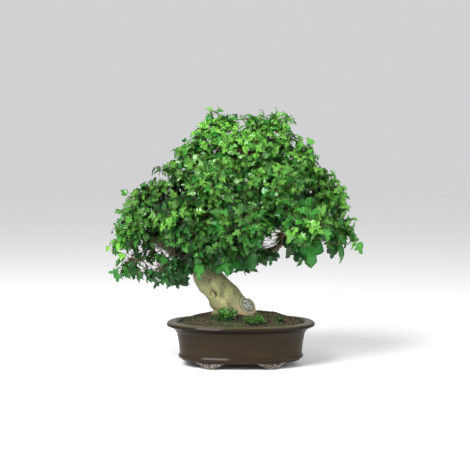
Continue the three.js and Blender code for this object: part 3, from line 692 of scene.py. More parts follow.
def sprayRuns(spray, chance):  # each run: its places, first and last width, and its luck in a clearing
    at = Vector(spray["at"])
    margin = spray["leaf"] * 0.75
    ways = evenWays(spray["tips"], chance)
    boughs, runs = [], []
    for way in ways[::leaves["boughEvery"]]:
        tip = insideCrown(onWay(spray, way, chance.uniform(*leaves["boughReach"])), margin)
        run = bent(at, tip, chance.uniform(2, 9), 6)
        boughs.append((way, run))
        runs.append((run, *leaves["boughs"], chance.random()))
    for i, way in enumerate(ways):
        isBough = i % leaves["boughEvery"] == 0
        if isBough or (isBuried(spray, way) and chance.random() < leaves["buriedLost"]):
            continue
        parent = max(boughs, key=lambda b: b[0].dot(way))[1]
        start = parent[chance.choice((2, 3, 3, 4))]
        tip = insideCrown(onWay(spray, way, chance.uniform(*leaves["twigReach"])), margin)
        fall = -leaves["twigSag"] * (tip - start).length * (1 if way.z < 0.3 else 0.2)
        run = bent(start, tip + Vector((0, 0, fall)), chance.uniform(1, 8), 5)
        runs.append((run, *leaves["twigs"], chance.random()))
    for tip in spray["shoots"]:
        runs.append((bent(at, insideCrown(Vector(tip), margin * 0.75), 8, 7), *leaves["shoots"], 1))
    for tip in spray["bare"]:
        runs.append((bent(at, Vector(tip), 6, 6), *leaves["bareTwigs"], -1))
    for first, last, count in spray["edges"]:
        for i in range(count):
            tip = Vector(first).lerp(Vector(last), (i + chance.uniform(0.1, 0.9)) / count)
            tip += Vector((0, chance.uniform(-30, 40), chance.uniform(-16, 4)))
            start = at.lerp(tip, 0.45)
            run = bent(start, insideCrown(tip, margin * 0.6), chance.uniform(-4, 6), 5)
            runs.append((run, *leaves["twigs"], 1))
    return runs


def twigMesh(name, spray, runs):
    rows, young = [], leaves["youth"]
    lowest, highest = young["limits"]
    for run, thick, thin, luck in runs:
        # the bright colour's share for the run: painted light rising towards the top, more out to the sides,
        # less in the shadows as painted shade
        height = (run[-1].z - young["from"]) / young["over"]
        youth = young["middle"] + young["upwards"] * height + abs(run[-1].x) / young["aside"]
        youth = min(highest, max(lowest, youth))
        rows.append([])
        for i, place in enumerate(run):
            share, shade = i / (len(run) - 1), shareAt(leaves["shadows"], place)
            rows[-1].append((place, (thick + (thin - thick) * share) * leaves["twigWidth"], share,
                             spray["leaf"] / 1000, youth * (1 - young["shaded"] * shade),
                             float(luck >= shareAt(leaves["clearings"], place)), shade))
    return runsMesh(name, rows, ("width", "reach", "leafSize", "youth", "bears", "shade"))


def hangLeaf(mesh, place, length, facing, way, outline, tone, young):  # adds one leaf to a spray's mesh
    leaf = leafMesh("hungLeaf", outline, outline)
    facing, way = Vector(facing).normalized(), Vector(way)
    way = (way - facing * way.dot(facing)).normalized()
    turn = Matrix((way.cross(facing), way, facing)).transposed().to_4x4()
    leaf.transform(Matrix.Translation(fromPot(*place)) @ turn @ Matrix.Scale(length / 1000, 4))
    for name, value in (("tone", tone), ("young", young), ("depth", 1.0)):
        addFloats(leaf, name, [value] * len(leaf.vertices))
    shape = bmesh.new()
    shape.from_mesh(mesh)
    addTo(shape, leaf, list(mesh.materials).index(leafFinish))
    shape.to_mesh(mesh)
    shape.free()


leafFinish = finish("mulberryLeaf", leafColours, **{
    "Specular IOR Level": 0.25, "Coat Roughness": 0.09, "Coat IOR": 1.5})
twigFinish = twoTone("twigBark", 120.0, leaves["twig"], leaves["twigDark"], (0.6, 0.8), 0.0004)
leafShapes = shapeGroup("leafShape", [leafMesh("leafShape", *pair) for pair in leafPairs])
leafySpray = sprayTree()
crown = []
for number, (name, spray) in enumerate(sprays.items()):
    chance = random.Random(400 + number)
    mesh = twigMesh(name, spray, sprayRuns(spray, chance))
    piece = grown("spray_" + name, mesh, leafySpray, {
        "Leaf Spacing": leaves["spacing"] + leaves["spacingPerLeaf"] * spray["leaf"] / 1000,
        "Size Spread": leaves["sizeSpread"], "Droop": spray["droop"], "Outward": leaves["outward"],
        "Upward": leaves["upward"], "Bare Share": leaves["bareShare"],
        "Crown Middle": fromPot(*leaves["crownMiddle"]), "Crown Reach": Vector(leaves["crownReach"]) / 1000,
        "Leaf Shapes": leafShapes, "Leaf Finish": leafFinish, "Twig Finish": twigFinish,
        "Seed": 31 * number + 5})
    for leaf in spray["hung"]:
        hangLeaf(piece.data, *leaf)
    low, high = np.array(cadLow) + leaves["inset"], np.array(cadHigh) - leaves["inset"]
    movedTo(piece.data, np.clip(vectorsOf(piece.data, "co"), low, high))
    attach(piece, "root")
    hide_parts("leaves_" + name)
    crown.append(piece)
cleared(leafShapes)
print("crown:", len(crown), "sprays,", sum(len(p.data.polygons) for p in crown), "faces")

# trunk, limbs and roots: x, y, z and radius in mm
wood = {
    "voxel": 0.0024, "smoothing": 8, "step": 0.006, "sides": 20,
    "swell": (0.0012, 0.0042), "grain": (0.0006, 0.0007),  # relief high up, and what the foot has more
    "footTop": 0.30, "footFade": 0.08, "swellScale": 22, "grainScale": (95, 95, 52),
    "upperFrom": (0.215, 0.29), "warmBelow": (0.172, 0.14),  # heights between which the bark changes
    "trunk": [(-8, 4, 62, 40), (-16, 2, 108, 45), (-24, 0, 146, 45), (-35, -2, 174, 44), (-52, -2, 197, 41),
              (-74, -1, 219, 39.5), (-91, 1, 241, 38), (-103, 4, 270, 32)],
    "roots": [
        [(-40, -6, 150, 17), (-70, -12, 140, 12), (-90, -20, 120, 7)],
        [(0, -14, 150, 20), (28, -32, 134, 14), (52, -56, 112, 8)],
        [(-4, 10, 156, 20), (34, 24, 138, 13), (66, 40, 116, 7)],
        [(-36, 18, 150, 18), (-48, 50, 136, 12), (-58, 76, 114, 7)],
        [(-24, -18, 146, 20), (-20, -40, 128, 14), (-14, -60, 108, 8)],
    ],
    # swellings: middle and half sizes
    "flares": [((6, -8, 157), (32, 28, 28)), ((8, -15, 141), (38, 31, 24)), ((-12, -10, 174), (25, 25, 28)),
               ((-62, -8, 170), (26, 26, 19)), ((-96, -6, 212), (20, 24, 17))],
    "wound": {"at": (17.5, -30, 166.5), "facing": (0.34, -0.92, 0.2), "width": 17, "height": 25, "tilt": 38,
              "lip": 0.0036, "collar": 0.0022, "hollow": 0.005},
    "knot": {"at": (-76, -44, 199), "size": (11, 14, 18), "depth": 0.010},
    "light": paint(186, 186, 126), "khaki": paint(146, 146, 98), "smear": paint(98, 96, 72),
    "upper": paint(112, 102, 84), "upperDark": paint(62, 52, 42), "warm": paint(190, 158, 128),
    "core": paint(190, 199, 184), "crack": paint(40, 44, 42), "groove": paint(50, 44, 36),
    "lip": paint(196, 192, 168),
}
limbs = {
    "leader": [(-94, 4, 262, 27), (-98, 8, 305, 23), (-76, 10, 362, 20), (-38, 4, 420, 17), (-8, -4, 482, 13),
               (4, -6, 540, 9), (12, -2, 588, 6)],
    "leftArm": [(-96, 4, 258, 20), (-138, 0, 290, 15), (-192, -12, 318, 12), (-244, -20, 352, 9),
                (-276, -16, 368, 4)],
    "rightArm": [(-92, 6, 284, 17), (-40, -8, 316, 12), (40, -22, 312, 9), (102, -18, 326, 7),
                 (142, -12, 378, 6.5), (190, -4, 394, 5.5), (234, 8, 368, 4)],
    "backArm": [(-88, 12, 335, 14), (-62, 60, 368, 11), (-30, 116, 390, 8), (0, 172, 410, 4)],
    "frontArm": [(-90, 4, 340, 13), (-72, -52, 366, 10), (-38, -108, 384, 7), (0, -158, 398, 4)],
}


def branchOf(spray):  # the branch from its limb to the middle of the spray
    if spray["along"] == 1:
        return None
    path = limbs[spray["limb"]]
    stop = spray["along"] * (len(path) - 1)
    before, after = Vector(path[int(stop)]), Vector(path[int(stop) + 1])
    start = before.lerp(after, stop % 1)
    end = Vector(spray["at"])
    middle = (start.xyz + end) / 2
    middle.z += 0.07 * (start.xyz - end).length * (-1 if end.z > start.z else 1)
    width = min(start.w * 0.62, 8)
    return [(*start.xyz, width), (*middle, width * 0.75), (*end, 2.6)]


def woodTree():
    tree, given, out = growTree("Tapered Limbs", {"Step": 0.006, "Sides": 20, "Bark": "Material"})
    tube = tubes(smoothRuns(tree, given), given["Step"], given["Sides"])
    plug(out["Geometry"], dressed(tube, given["Bark"]))
    return tree


def barkColours(tree):
    height = heightOf(tree)
    smear = useBlotches(tree, 46.0, 0.52, 0.68, (1.6, 1.6, 0.8))
    fine = useBlotches(tree, 120.0, 0.35, 0.7, (1, 1, 2))
    crack = useBlotches(tree, 190.0, 0.47, 0.55, (0.8, 1, 1.2))
    colour = layered(
        wood["light"], (useBlotches(tree, 24.0, 0.4, 0.6), wood["khaki"]), (smear * 0.8, wood["smear"]),
        (fine * 0.35, wood["smear"]),
        (ramp(height, *wood["upperFrom"]), mixed(fine, wood["upper"], wood["upperDark"])),
        (ramp(height, *wood["warmBelow"]) * useBlotches(tree, 40.0, 0.35, 0.55), wood["warm"]),
        (useFlecks(tree, 260.0, 0.3, 0.22) * 0.6, wood["smear"]),
        (attributeOf(tree, "wound"),
         layered(wood["core"], (fine * 0.5, wood["smear"]), (crack * 0.85, wood["crack"]))),
        (attributeOf(tree, "lip") * 0.7, wood["lip"]), (attributeOf(tree, "groove"), wood["groove"]))
    return {"Base Color": colour, "Roughness": ranged(fine, 0.5, 0.78),
            "Height": (fine * 0.5 + smear * -0.7, 0.0016)}


def woodPiece():
    bark = finish("mulberryBark", barkColours)
    runs = [wood["trunk"], *wood["roots"], *limbs.values(), *filter(None, map(branchOf, sprays.values()))]
    mesh = runsMesh("woodRuns", [[(place, width / 1000) for *place, width in run] for run in runs], ["width"])
    piece = grown("trunk_and_limbs", mesh, woodTree(), {
        "Step": wood["step"], "Sides": wood["sides"], "Bark": bark})
    shape = bmesh.new()
    shape.from_mesh(piece.data)
    for place, size in wood["flares"]:
        at = Matrix.Translation(fromPot(*place)) @ Matrix.Diagonal((*[s / 1000 for s in size], 1))
        bmesh.ops.create_uvsphere(shape, u_segments=32, v_segments=20, radius=1, matrix=at)
    shape.to_mesh(piece.data)
    shape.free()
    remesh = piece.modifiers.new("Fuse", "REMESH")
    remesh.mode, remesh.voxel_size, remesh.use_smooth_shade = "VOXEL", wood["voxel"], True
    soften = piece.modifiers.new("Soften", "SMOOTH")
    soften.factor, soften.iterations = 0.5, wood["smoothing"]
    baked(piece)
    weather(piece.data)
    piece.data.materials.clear()
    piece.data.materials.append(bark)
    return piece


def bell(values, middle, width):
    return np.exp(-((values - middle) / width) ** 2)


def weather(mesh):  # swellings, bark relief, the old wound and the knot hole
    places, normals = vectorsOf(mesh, "co"), vectorsOf(mesh, "normal")
    moved = places.copy()
    lower = np.clip((wood["footTop"] - places[:, 2]) / wood["footFade"], 0, 1)
    (swell, footSwell), (grain, footGrain) = wood["swell"], wood["grain"]
    for i, place in enumerate(places):
        spot = Vector(place)
        stretched = Vector([s * scale for s, scale in zip(spot, wood["grainScale"])])
        bulge = noise.noise(spot * wood["swellScale"]) * (swell + footSwell * lower[i])
        moved[i] += normals[i] * (bulge + noise.noise(stretched) * (grain + footGrain * lower[i]))

    knot = wood["knot"]
    away = (moved - np.array(fromPot(*knot["at"]))) / (np.array(knot["size"]) / 1000)
    crease = 0.35 * np.sin(away[:, 2] * 5 + away[:, 0] * 3)
    pit = np.exp(-(away ** 2).sum(1) * 0.9) * (1 + crease)
    moved -= normals * (pit * knot["depth"])[:, None]
    radius, around = np.hypot(away[:, 0], away[:, 2]), np.arctan2(away[:, 2], away[:, 0])
    eye = bell(radius, 0.7, 0.24) * (np.abs(away[:, 1]) < 1.6) * (0.32 + 0.5 * np.cos(2 * around + 0.5))

    wound = wood["wound"]
    facing = Vector(wound["facing"]).normalized()
    level = Vector((0, 0, 1)).cross(facing).normalized()
    turn = Matrix.Rotation(math.radians(wound["tilt"]), 3, facing)
    across, upwards = turn @ level, turn @ facing.cross(level)
    offset = moved - np.array(fromPot(*wound["at"]))
    depth = offset @ np.array(facing)
    share = np.hypot(offset @ np.array(across) / (wound["width"] / 1000),
                     offset @ np.array(upwards) / (wound["height"] / 1000))
    ring = wound["lip"] * bell(share, 0.96, 0.1) + wound["collar"] * bell(share, 1.26, 0.1)
    wanted = 0.0005 + ring - wound["hollow"] * np.clip(1 - share / 0.75, 0, 1)
    take = np.clip((1.45 - share) / 0.4, 0, 1) * (depth > -0.012)
    moved += np.array(facing) * ((wanted - depth) * take)[:, None]
    movedTo(mesh, moved)

    front = take > 0.5
    dark = bell(share, 0.82, 0.06) * front + np.clip(pit * 1.6 - 0.7, 0, 1) + eye
    dark += 0.85 * bell(share, 1.12, 0.05) * front
    for name, values in (("wound", np.clip((0.74 - share) / 0.06, 0, 1) * front),
                         ("lip", bell(share, 0.97, 0.09) * front), ("groove", np.clip(dark, 0, 1))):
        addFloats(mesh, name, values.astype(np.float32))


trunkPiece = woodPiece()
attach(trunkPiece, "root")
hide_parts("trunk")
print("wood:", len(trunkPiece.data.polygons), "faces")

# pot: outside and inside lines of the wall, as half length and height in mm
pot = {
    "line": [(0, 15.5), (163, 15.5), (165, 19.5), (171.5, 22.5), (171.8, 28), (168.3, 33), (171, 62),
             (176.5, 90), (184, 100.5), (194, 106), (203, 109.5), (204.4, 113), (202.1, 117.8), (197, 120.2),
             (190, 120.5), (180, 120), (173, 115), (168, 96), (157, 36), (148, 28), (0, 28)],
    "ovalPower": 2.25, "shortfall": 65, "core": 140, "sides": 192, "rounding": 0.0022,
    "drainOffset": 85, "drainRadius": 11,
    "footLine": [(-39, 19), (-38, 15), (-24, 9), (-14, 2), (-8, 0), (9, 0), (15, 2), (25, 10), (36, 15),
                 (37, 19)],
    "footMiddle": 84, "footDepth": 19, "footFace": 166, "footSteps": 5, "footWear": 0.0012,
    "glaze": paint(47, 36, 22), "glazeDark": paint(37, 28, 17), "glazePale": paint(60, 48, 33),
    # the cove colour is a painted shadow on the wall under the lip
    "cove": paint(20, 15, 9), "lip": paint(101, 98, 72), "speck": paint(36, 30, 26),
    # the pot's lip colour is a painted reflection on the lip's top, over the heights given next
    "coveFrom": (0.090, 0.105), "lipFrom": (0.1155, 0.1205),  # heights
    "clay": paint(130, 124, 114), "clayDark": paint(66, 60, 52), "claySpeck": paint(52, 48, 42),
}


def ovalTree():  # sweeps the wall's line round an oval
    tree, given, out = growTree("Oval Pot", {
        "Sides": 96, "Rounding": 0.002, "Oval Power": 2.0, "Shortfall": 0.05, "Core": 0.1,
        "Middle": (0, 0, 0), "Glaze": "Material"})
    curve = add(tree, "GeometryNodeMeshToCurve", {"Mesh": given["Geometry"]})
    line = add(tree, "GeometryNodeFilletCurve", {
        "Curve": curve, "Count": 4, "Radius": given["Rounding"], "Limit Radius": True}, mode="POLY")
    count = add(tree, "GeometryNodeAttributeDomainSize", {"Geometry": line}, component="CURVE")
    grid = add(tree, "GeometryNodeMeshGrid", {
        "Size X": 1.0, "Size Y": 1.0, "Vertices X": given["Sides"] + 1.0, "Vertices Y": count})
    position = add(tree, "GeometryNodeInputPosition")
    where = apart(position)
    along = apart(add(tree, "GeometryNodeSampleIndex", {
        "Geometry": line, "Value": position, "Index": reckon("ROUND", (where[1] + 0.5) * (count - 1.0))},
        data_type="FLOAT_VECTOR", domain="POINT"))
    angle = (where[0] + 0.5) * math.tau
    narrow = along[0] * ((given["Core"] - given["Shortfall"]) / given["Core"])
    half = reckon("MAXIMUM", along[0] - given["Shortfall"], narrow)
    ends = []
    for turn, size in (("COSINE", along[0]), ("SINE", half)):
        value = reckon(turn, angle)
        bulge = reckon("POWER", reckon("ABSOLUTE", value), 2.0 / given["Oval Power"])
        ends.append(size * (reckon("SIGN", value) * bulge))
    place = add(tree, "ShaderNodeCombineXYZ", {0: ends[0], 1: ends[1], 2: along[2]})
    wall = add(tree, "GeometryNodeSetPosition", {"Geometry": grid, "Position": place + given["Middle"]})
    closed = add(tree, "GeometryNodeMergeByDistance", {"Geometry": wall, "Distance": 2e-5})
    smooth = add(tree, "GeometryNodeSetShadeSmooth", {"Geometry": closed})
    plug(out["Geometry"], dressed(smooth, given["Glaze"]))
    return tree


def glazeColours(tree):
    height = heightOf(tree)
    fine = useBlotches(tree, 420.0, 0.3, 0.75)
    colour = layered(
        pot["glaze"], (useBlotches(tree, 14.0, 0.35, 0.68, (1, 1, 3)), pot["glazeDark"]),
        # painted shadow: the wall under the lip darkened from the cove heights upwards
        (fine * 0.3, pot["glazePale"]), (ramp(height, *pot["coveFrom"]) * 0.75, pot["cove"]),
        # painted reflection: the lip's top paler from the lip heights upwards
        (ramp(height, *pot["lipFrom"]) * 0.75, pot["lip"]),
        (useFlecks(tree, 330.0, 0.28, 0.12) * 0.4, pot["speck"]))
    return {"Base Color": colour, "Roughness": ranged(fine, 0.34, 0.5), "Height": (fine, 0.00025)}


def footColours(tree):
    patch = useBlotches(tree, 170.0, 0.42, 0.56)
    colour = layered(
        pot["clay"], (patch, pot["clayDark"]), (useFlecks(tree, 420.0, 0.4, 0.5), pot["claySpeck"]))
    return {"Base Color": colour, "Roughness": ranged(patch, 0.7, 0.9), "Height": (patch, 0.0008)}


def footMesh(sideX, sideY):  # a shallow bracket bent to follow the oval
    shape = bmesh.new()
    rows = []
    for step in range(pot["footSteps"] + 1):
        row = []
        for x, z in pot["footLine"]:
            x += pot["footMiddle"]
            share = abs(x / pot["footFace"]) ** pot["ovalPower"]
            front = (pot["footFace"] - pot["shortfall"]) * (1 - share) ** (1 / pot["ovalPower"])
            deep = pot["footDepth"] * step / pot["footSteps"]
            row.append(shape.verts.new(fromPot(x * sideX, (front - deep) * sideY, z)))
        rows.append(row)
    for near, far in zip(rows, rows[1:]):
        for i in range(len(near)):
            j = (i + 1) % len(near)
            shape.faces.new((near[i], near[j], far[j], far[i]))
    shape.faces.new(rows[0][::-1])
    shape.faces.new(rows[-1])
    bmesh.ops.recalc_face_normals(shape, faces=shape.faces)
    foot = linked("foot", meshFrom("foot", shape))
    worn = foot.modifiers.new("Worn", "BEVEL")
    worn.width, worn.segments, worn.limit_method = pot["footWear"], 2, "ANGLE"
    mesh = baked(foot).data
    bpy.data.objects.remove(foot)
    return mesh


def drillAt(side):
    shape = bmesh.new()
    radius = pot["drainRadius"] / 1000
    bmesh.ops.create_cone(shape, cap_ends=True, segments=32, radius1=radius, radius2=radius, depth=0.03,
                          matrix=Matrix.Translation(fromPot(side * pot["drainOffset"], 0, 22)))
    return linked("drill", meshFrom("drill", shape))


def potPiece():
    glaze = finish("brownGlaze", glazeColours, **{
        "Specular IOR Level": 0.05, "Coat Weight": 0.24, "Coat Roughness": 0.09, "Coat IOR": 1.45})
    bare = finish("bareClayFeet", footColours)
    points = [(r / 1000, 0, z / 1000) for r, z in pot["line"]]
    line = meshOf("wallLine", points, [(i, i + 1) for i in range(len(points) - 1)], [])
    piece = grown("oval_pot", line, ovalTree(), {
        "Sides": pot["sides"], "Rounding": pot["rounding"], "Oval Power": pot["ovalPower"],
        "Shortfall": pot["shortfall"] / 1000, "Core": pot["core"] / 1000, "Middle": potMiddle,
        "Glaze": glaze})
    shape = bmesh.new()
    shape.from_mesh(piece.data)
    if shape.calc_volume(signed=True) < 0:
        bmesh.ops.reverse_faces(shape, faces=shape.faces)
        shape.to_mesh(piece.data)
    shape.free()
    drills = [drillAt(-1), drillAt(1)]
    for drill in drills:
        cut = piece.modifiers.new("Drain", "BOOLEAN")
        cut.operation, cut.object = "DIFFERENCE", drill
    baked(piece)
    for drill in drills:
        bpy.data.objects.remove(drill)
    feet = [(footMesh(sideX, sideY), 1) for sideX in (-1, 1) for sideY in (-1, 1)]
    piece.data = joinedMesh("oval_pot", [(piece.data, 0), *feet], [glaze, bare])
    return piece


wholePot = potPiece()
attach(wholePot, "root")
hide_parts("pot")
print("pot:", len(wholePot.data.polygons), "faces")

# soil: a mound with loose grains on it
soil = {
    "grainDensity": 56000, "grainSize": 0.0020, "sizeSpread": 0.6, "relief": 0.0022, "roughAbove": 0.112,
    "dark": paint(22, 18, 13), "brown": paint(92, 76, 54), "tan": paint(138, 122, 94),
    "moss": paint(54, 78, 34), "grainShapes": 4, "bumpScale": 130, "steepest": 0.4,
}


def grainMesh(chance):
    shape = bmesh.new()
    bmesh.ops.create_icosphere(shape, subdivisions=1, radius=1)
    for vertex in shape.verts:
        vertex.co *= chance.uniform(0.7, 1.15)
        vertex.co.z *= 0.8
    return meshFrom("grain", shape)


def scatterTree():  # small shapes over the upward faces of a surface
    tree, given, out = growTree("Scattered Over", {
        "Density": 1000.0, "Size": 0.002, "Size Spread": 0.4, "Steepest": 0.5, "Upright": 0.0, "Palest": 0.0,
        "Shapes": "Collection", "Finish": "Material", "Seed": 1, "Shape Count": 4})
    seed = given["Seed"]
    up = apart(add(tree, "GeometryNodeInputNormal"))[2]
    spots = add(tree, "GeometryNodeDistributePointsOnFaces", {
        "Mesh": given["Geometry"], "Selection": reckon("GREATER_THAN", up, given["Steepest"]),
        "Density": given["Density"], "Seed": seed}, distribute_method="RANDOM")
    points = stored(spots["Points"], "tone", chanceOf(tree, given["Palest"], 1.0, seed + 3.0))
    wander = chanceOf(tree, (-1, -1, -1), (1, 1, 1), seed + 5.0) * (1.0 - given["Upright"]) + (0, 0, 0.7)
    spin = chanceOf(tree, (-1, -1, 0), (1, 1, 0), seed + 6.0)
    turn = add(tree, "FunctionNodeAxesToRotation", {0: wander, 1: spin}, primary_axis="Z", secondary_axis="X")
    laid = planted(points, given["Shapes"], {
        "Instance Index": chanceOf(tree, 0, given["Shape Count"] - 1.0, seed + 9.0), "Rotation": turn,
        "Scale": given["Size"] * (chanceOf(tree, -1.0, 1.0, seed + 8.0) * given["Size Spread"] + 1.0)})
    plug(out["Geometry"], dressed(laid, given["Finish"]))
    return tree


def soilColours(tree):
    tone = attributeOf(tree, "tone")
    patch = useBlotches(tree, 110.0, 0.42, 0.58)
    speck = useFlecks(tree, 500.0, 0.4, 0.5)
    colour = layered(
        soil["dark"], ((patch + tone) * 0.55, soil["brown"]), (ramp(tone, 0.78, 1.0), soil["tan"]),
        (useBlotches(tree, 15.0, 0.46, 0.6) * 0.6, soil["moss"]), (speck * 0.6, soil["dark"]))
    return {"Base Color": colour, "Roughness": ranged(patch, 0.75, 0.95), "Height": (speck, 0.0006)}


def soilPiece():
    earth = finish("pottingSoil", soilColours)
    bed = finerCopy("soil_bed", "soil")
    places, normals = vectorsOf(bed.data, "co"), vectorsOf(bed.data, "normal")
    for i in np.nonzero((normals[:, 2] > 0.5) & (places[:, 2] > soil["roughAbove"]))[0]:
        places[i][2] += noise.noise(Vector(places[i]) * soil["bumpScale"]) * soil["relief"]
    movedTo(bed.data, places)
    chance = random.Random(9)
    shapes = shapeGroup("grainShape", [grainMesh(chance) for i in range(soil["grainShapes"])])
    grains = grown("grains", bed.data.copy(), scatter, {
        "Density": soil["grainDensity"], "Size": soil["grainSize"], "Size Spread": soil["sizeSpread"],
        "Steepest": soil["steepest"], "Shapes": shapes, "Finish": earth, "Seed": 4,
        "Shape Count": soil["grainShapes"]})
    bed.data.materials.clear()
    bed.data = joinedMesh("soil_bed", [(bed.data, 0), (grains.data, 0)], [earth])
    bpy.data.objects.remove(grains)
    cleared(shapes)
    return bed


scatter = scatterTree()
soilBed = soilPiece()
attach(soilBed, "root")
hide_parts("soil")
print("soil:", len(soilBed.data.polygons), "faces")

# moss cushions with small weeds on them; cushion is their size against the solid's, shift is in mm
weeds = {
    "relief": 0.003, "dark": paint(14, 44, 14), "mid": paint(30, 88, 28), "bright": paint(86, 146, 50),
    "cushionDark": paint(30, 52, 20), "shapes": 4, "sizeSpread": 0.35, "bumpScale": 160, "steepest": 0.05,
    "patches": {
        "moss_left": {"shape": "sprig", "size": 0.021, "density": 21000, "upright": 0.5,
                      "cushion": (0.76, 0.76, 0.76), "pale": 0.0, "shift": (7, 0)},
        "moss_right": {"shape": "grass", "size": 0.017, "density": 17000, "upright": 0.3,
                       "cushion": (1.0, 0.66, 0.48), "pale": 0.95, "shift": (-7, -4)},
        "moss_small": {"shape": "sprig", "size": 0.012, "density": 24000, "upright": 0.4,
                       "cushion": (0.8, 0.7, 0.7), "pale": 0.0, "shift": (0, -1)},
    },
}


def weedColours(tree):
    patch = useBlotches(tree, 140.0, 0.35, 0.65)
    colour = layered(weeds["mid"], (attributeOf(tree, "tone"), weeds["bright"]), (patch * 0.5, weeds["dark"]))
    return {"Base Color": colour, "Roughness": ranged(patch, 0.4, 0.6), "Height": (patch, 0.0003)}


def sprigMesh(chance):  # a short stem with five leaflets
    vertices = [(x, y, z) for z in (0, 0.7) for x, y in triangle(0.05)]
    faces = [(2, 1, 0), (3, 4, 5), (0, 1, 4, 3), (1, 2, 5, 4), (2, 0, 3, 5)]
    for leaflet in range(5):
        angle = leaflet * 2.4 + chance.uniform(-0.3, 0.3)
        start = Vector((0, 0, 0.3 + 0.1 * leaflet))
        way = Vector((math.cos(angle), math.sin(angle), chance.uniform(0.1, 0.8))).normalized()
        wide = way.cross(Vector((0, 0, 1))).normalized() * chance.uniform(0.11, 0.17)
        lift = wide.cross(way).normalized() * 0.03
        length = chance.uniform(0.45, 0.62)
        foot, waist = len(vertices), start + way * length * 0.55
        middle = start + way * length * 0.5
        vertices += [start, waist + wide, start + way * length, waist - wide, middle + lift, middle - lift]
        faces += [(foot + i, foot + (i + 1) % 4, foot + 4) for i in range(4)]
        faces += [(foot + (i + 1) % 4, foot + i, foot + 5) for i in range(4)]
    return meshOf("sprig", vertices, [], faces)


def grassMesh(chance):  # a tuft of four narrow blades
    vertices, faces = [], []
    for number in range(4):
        angle = number * 1.7 + chance.uniform(-0.4, 0.4)
        lean = Vector((math.cos(angle), math.sin(angle), 0)) * chance.uniform(0.15, 0.55)
        height, start, foot = chance.uniform(0.6, 1.15), lean * 0.2, len(vertices)
        for share, width in ((0, 0.05), (0.55, 0.045)):
            middle = start + lean * share ** 2 + Vector((0, 0, height * share))
            vertices += [middle + Vector((x, y, 0)) * width for x, y in triangle(1)]
        vertices.append(start + lean + Vector((0, 0, height)))
        faces += [(foot + 2, foot + 1, foot)]
        faces += [(foot + i, foot + (i + 1) % 3, foot + (i + 1) % 3 + 3, foot + i + 3) for i in range(3)]
        faces += [(foot + i + 3, foot + (i + 1) % 3 + 3, foot + 6) for i in range(3)]
    return meshOf("grass", vertices, [], faces)


def weedPiece(name, patch, seed):
    chance = random.Random(seed)
    make = sprigMesh if patch["shape"] == "sprig" else grassMesh
    shapes = shapeGroup("weedShape", [make(chance) for i in range(weeds["shapes"])])
    cushion = finerCopy("cushion", name)
    places = vectorsOf(cushion.data, "co")
    low, middle = places.min(0), (places.min(0) + places.max(0)) / 2
    shift = np.array((*patch["shift"], 0)) / 1000
    for i, place in enumerate(places):
        shrunk = middle + shift + (place - middle) * patch["cushion"]
        shrunk[2] = low[2] + (place[2] - low[2]) * patch["cushion"][2]
        spot = Vector(place) * weeds["bumpScale"]
        drift = [noise.noise(spot + Vector((offset, 0, 0))) for offset in (0.5, 31.7, 57.3)]
        places[i] = shrunk + np.array(drift) * weeds["relief"]
    movedTo(cushion.data, places)
    tufts = grown("tufts", cushion.data.copy(), scatter, {
        "Density": patch["density"], "Size": patch["size"], "Size Spread": weeds["sizeSpread"],
        "Steepest": weeds["steepest"], "Upright": patch["upright"], "Palest": patch["pale"], "Shapes": shapes,
        "Finish": weedFinish, "Seed": seed, "Shape Count": weeds["shapes"]})
    cushion.data.materials.clear()
    mesh = joinedMesh(name, [(cushion.data, 0), (tufts.data, 1)], [cushionFinish, weedFinish])
    bpy.data.objects.remove(tufts)
    bpy.data.objects.remove(cushion)
    cleared(shapes)
    return linked("weeds_" + name.split("_")[1], mesh)


weedFinish = finish("weedLeaf", weedColours)
cushionFinish = twoTone("mossCushion", 190.0, weeds["dark"], weeds["cushionDark"], (0.8, 0.95), 0.0012)
for number, (name, patch) in enumerate(weeds["patches"].items()):
    piece = weedPiece(name, patch, 60 + number)
    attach(piece, "root")
    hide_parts(name)
    print(piece.name + ":", len(piece.data.polygons), "faces")

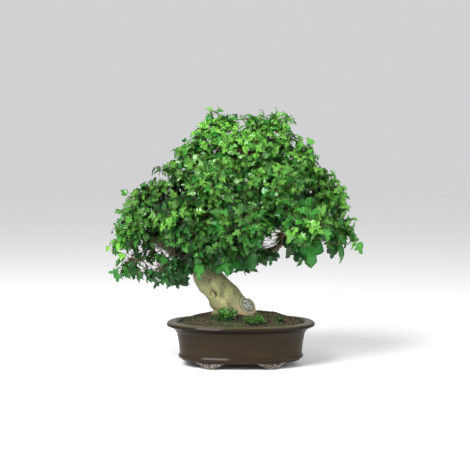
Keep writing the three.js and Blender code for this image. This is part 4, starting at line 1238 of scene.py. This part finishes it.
# the screens over the drain holes stay as modelled
screens = {"dark": paint(38, 40, 42), "pale": paint(74, 76, 78)}
screenFinish = twoTone("screenPlastic", 120.0, screens["dark"], screens["pale"], (0.45, 0.65), 0.0002)
for side in ("left", "right"):
    screen = frame["nodes"]["drain_screen_" + side]
    screen.data.materials.clear()
    screen.data.materials.append(screenFinish)

# studio: lamps are place in m, size and power
studio = {
    "floor": paint(254, 254, 253), "floorRadius": 14, "sky": paint(248, 248, 250), "skyStrength": 0.68,
    "lamps": {"keyLight": ((-1.5, -2.0, 2.6), 1.8, 160), "fillLight": ((2.4, -1.6, 1.5), 2.4, 30)},
    "aim": (0, 0, 0.35), "lens": 86.8, "camera": (-16, -3100, 565), "pitch": 3.84,
}


def studioSet():
    world = bpy.data.worlds.new("paleStudio")
    world.use_nodes = True
    sky = world.node_tree.nodes["Background"]
    sky.inputs[0].default_value, sky.inputs[1].default_value = studio["sky"], studio["skyStrength"]
    bpy.context.scene.world = world
    shape = bmesh.new()
    bmesh.ops.create_circle(shape, cap_ends=True, segments=96, radius=studio["floorRadius"])
    floor = linked("paleFloor", meshFrom("paleFloor", shape))
    material = bpy.data.materials.new("paleFloor")
    material.use_nodes = True
    shader = next(n for n in material.node_tree.nodes if n.type == "BSDF_PRINCIPLED")
    shader.inputs["Base Color"].default_value, shader.inputs["Roughness"].default_value = studio["floor"], 0.9
    floor.data.materials.append(material)
    for name, (at, size, power) in studio["lamps"].items():
        light = bpy.data.lights.new(name, "AREA")
        light.size, light.energy = size, power
        lamp = linked(name, light)
        lamp.location = at
        lamp.rotation_euler = (Vector(studio["aim"]) - Vector(at)).to_track_quat("-Z", "Y").to_euler()
    view = bpy.data.cameras.new("camera")
    view.lens, view.sensor_width, view.clip_end = studio["lens"], 36, 100
    camera = linked("camera", view)
    camera.location = fromPot(*studio["camera"])
    camera.rotation_euler = (math.radians(90 - studio["pitch"]), 0, 0)
    bpy.context.scene.camera = camera


studioSet()
bpy.context.scene.view_settings.view_transform = "Standard"
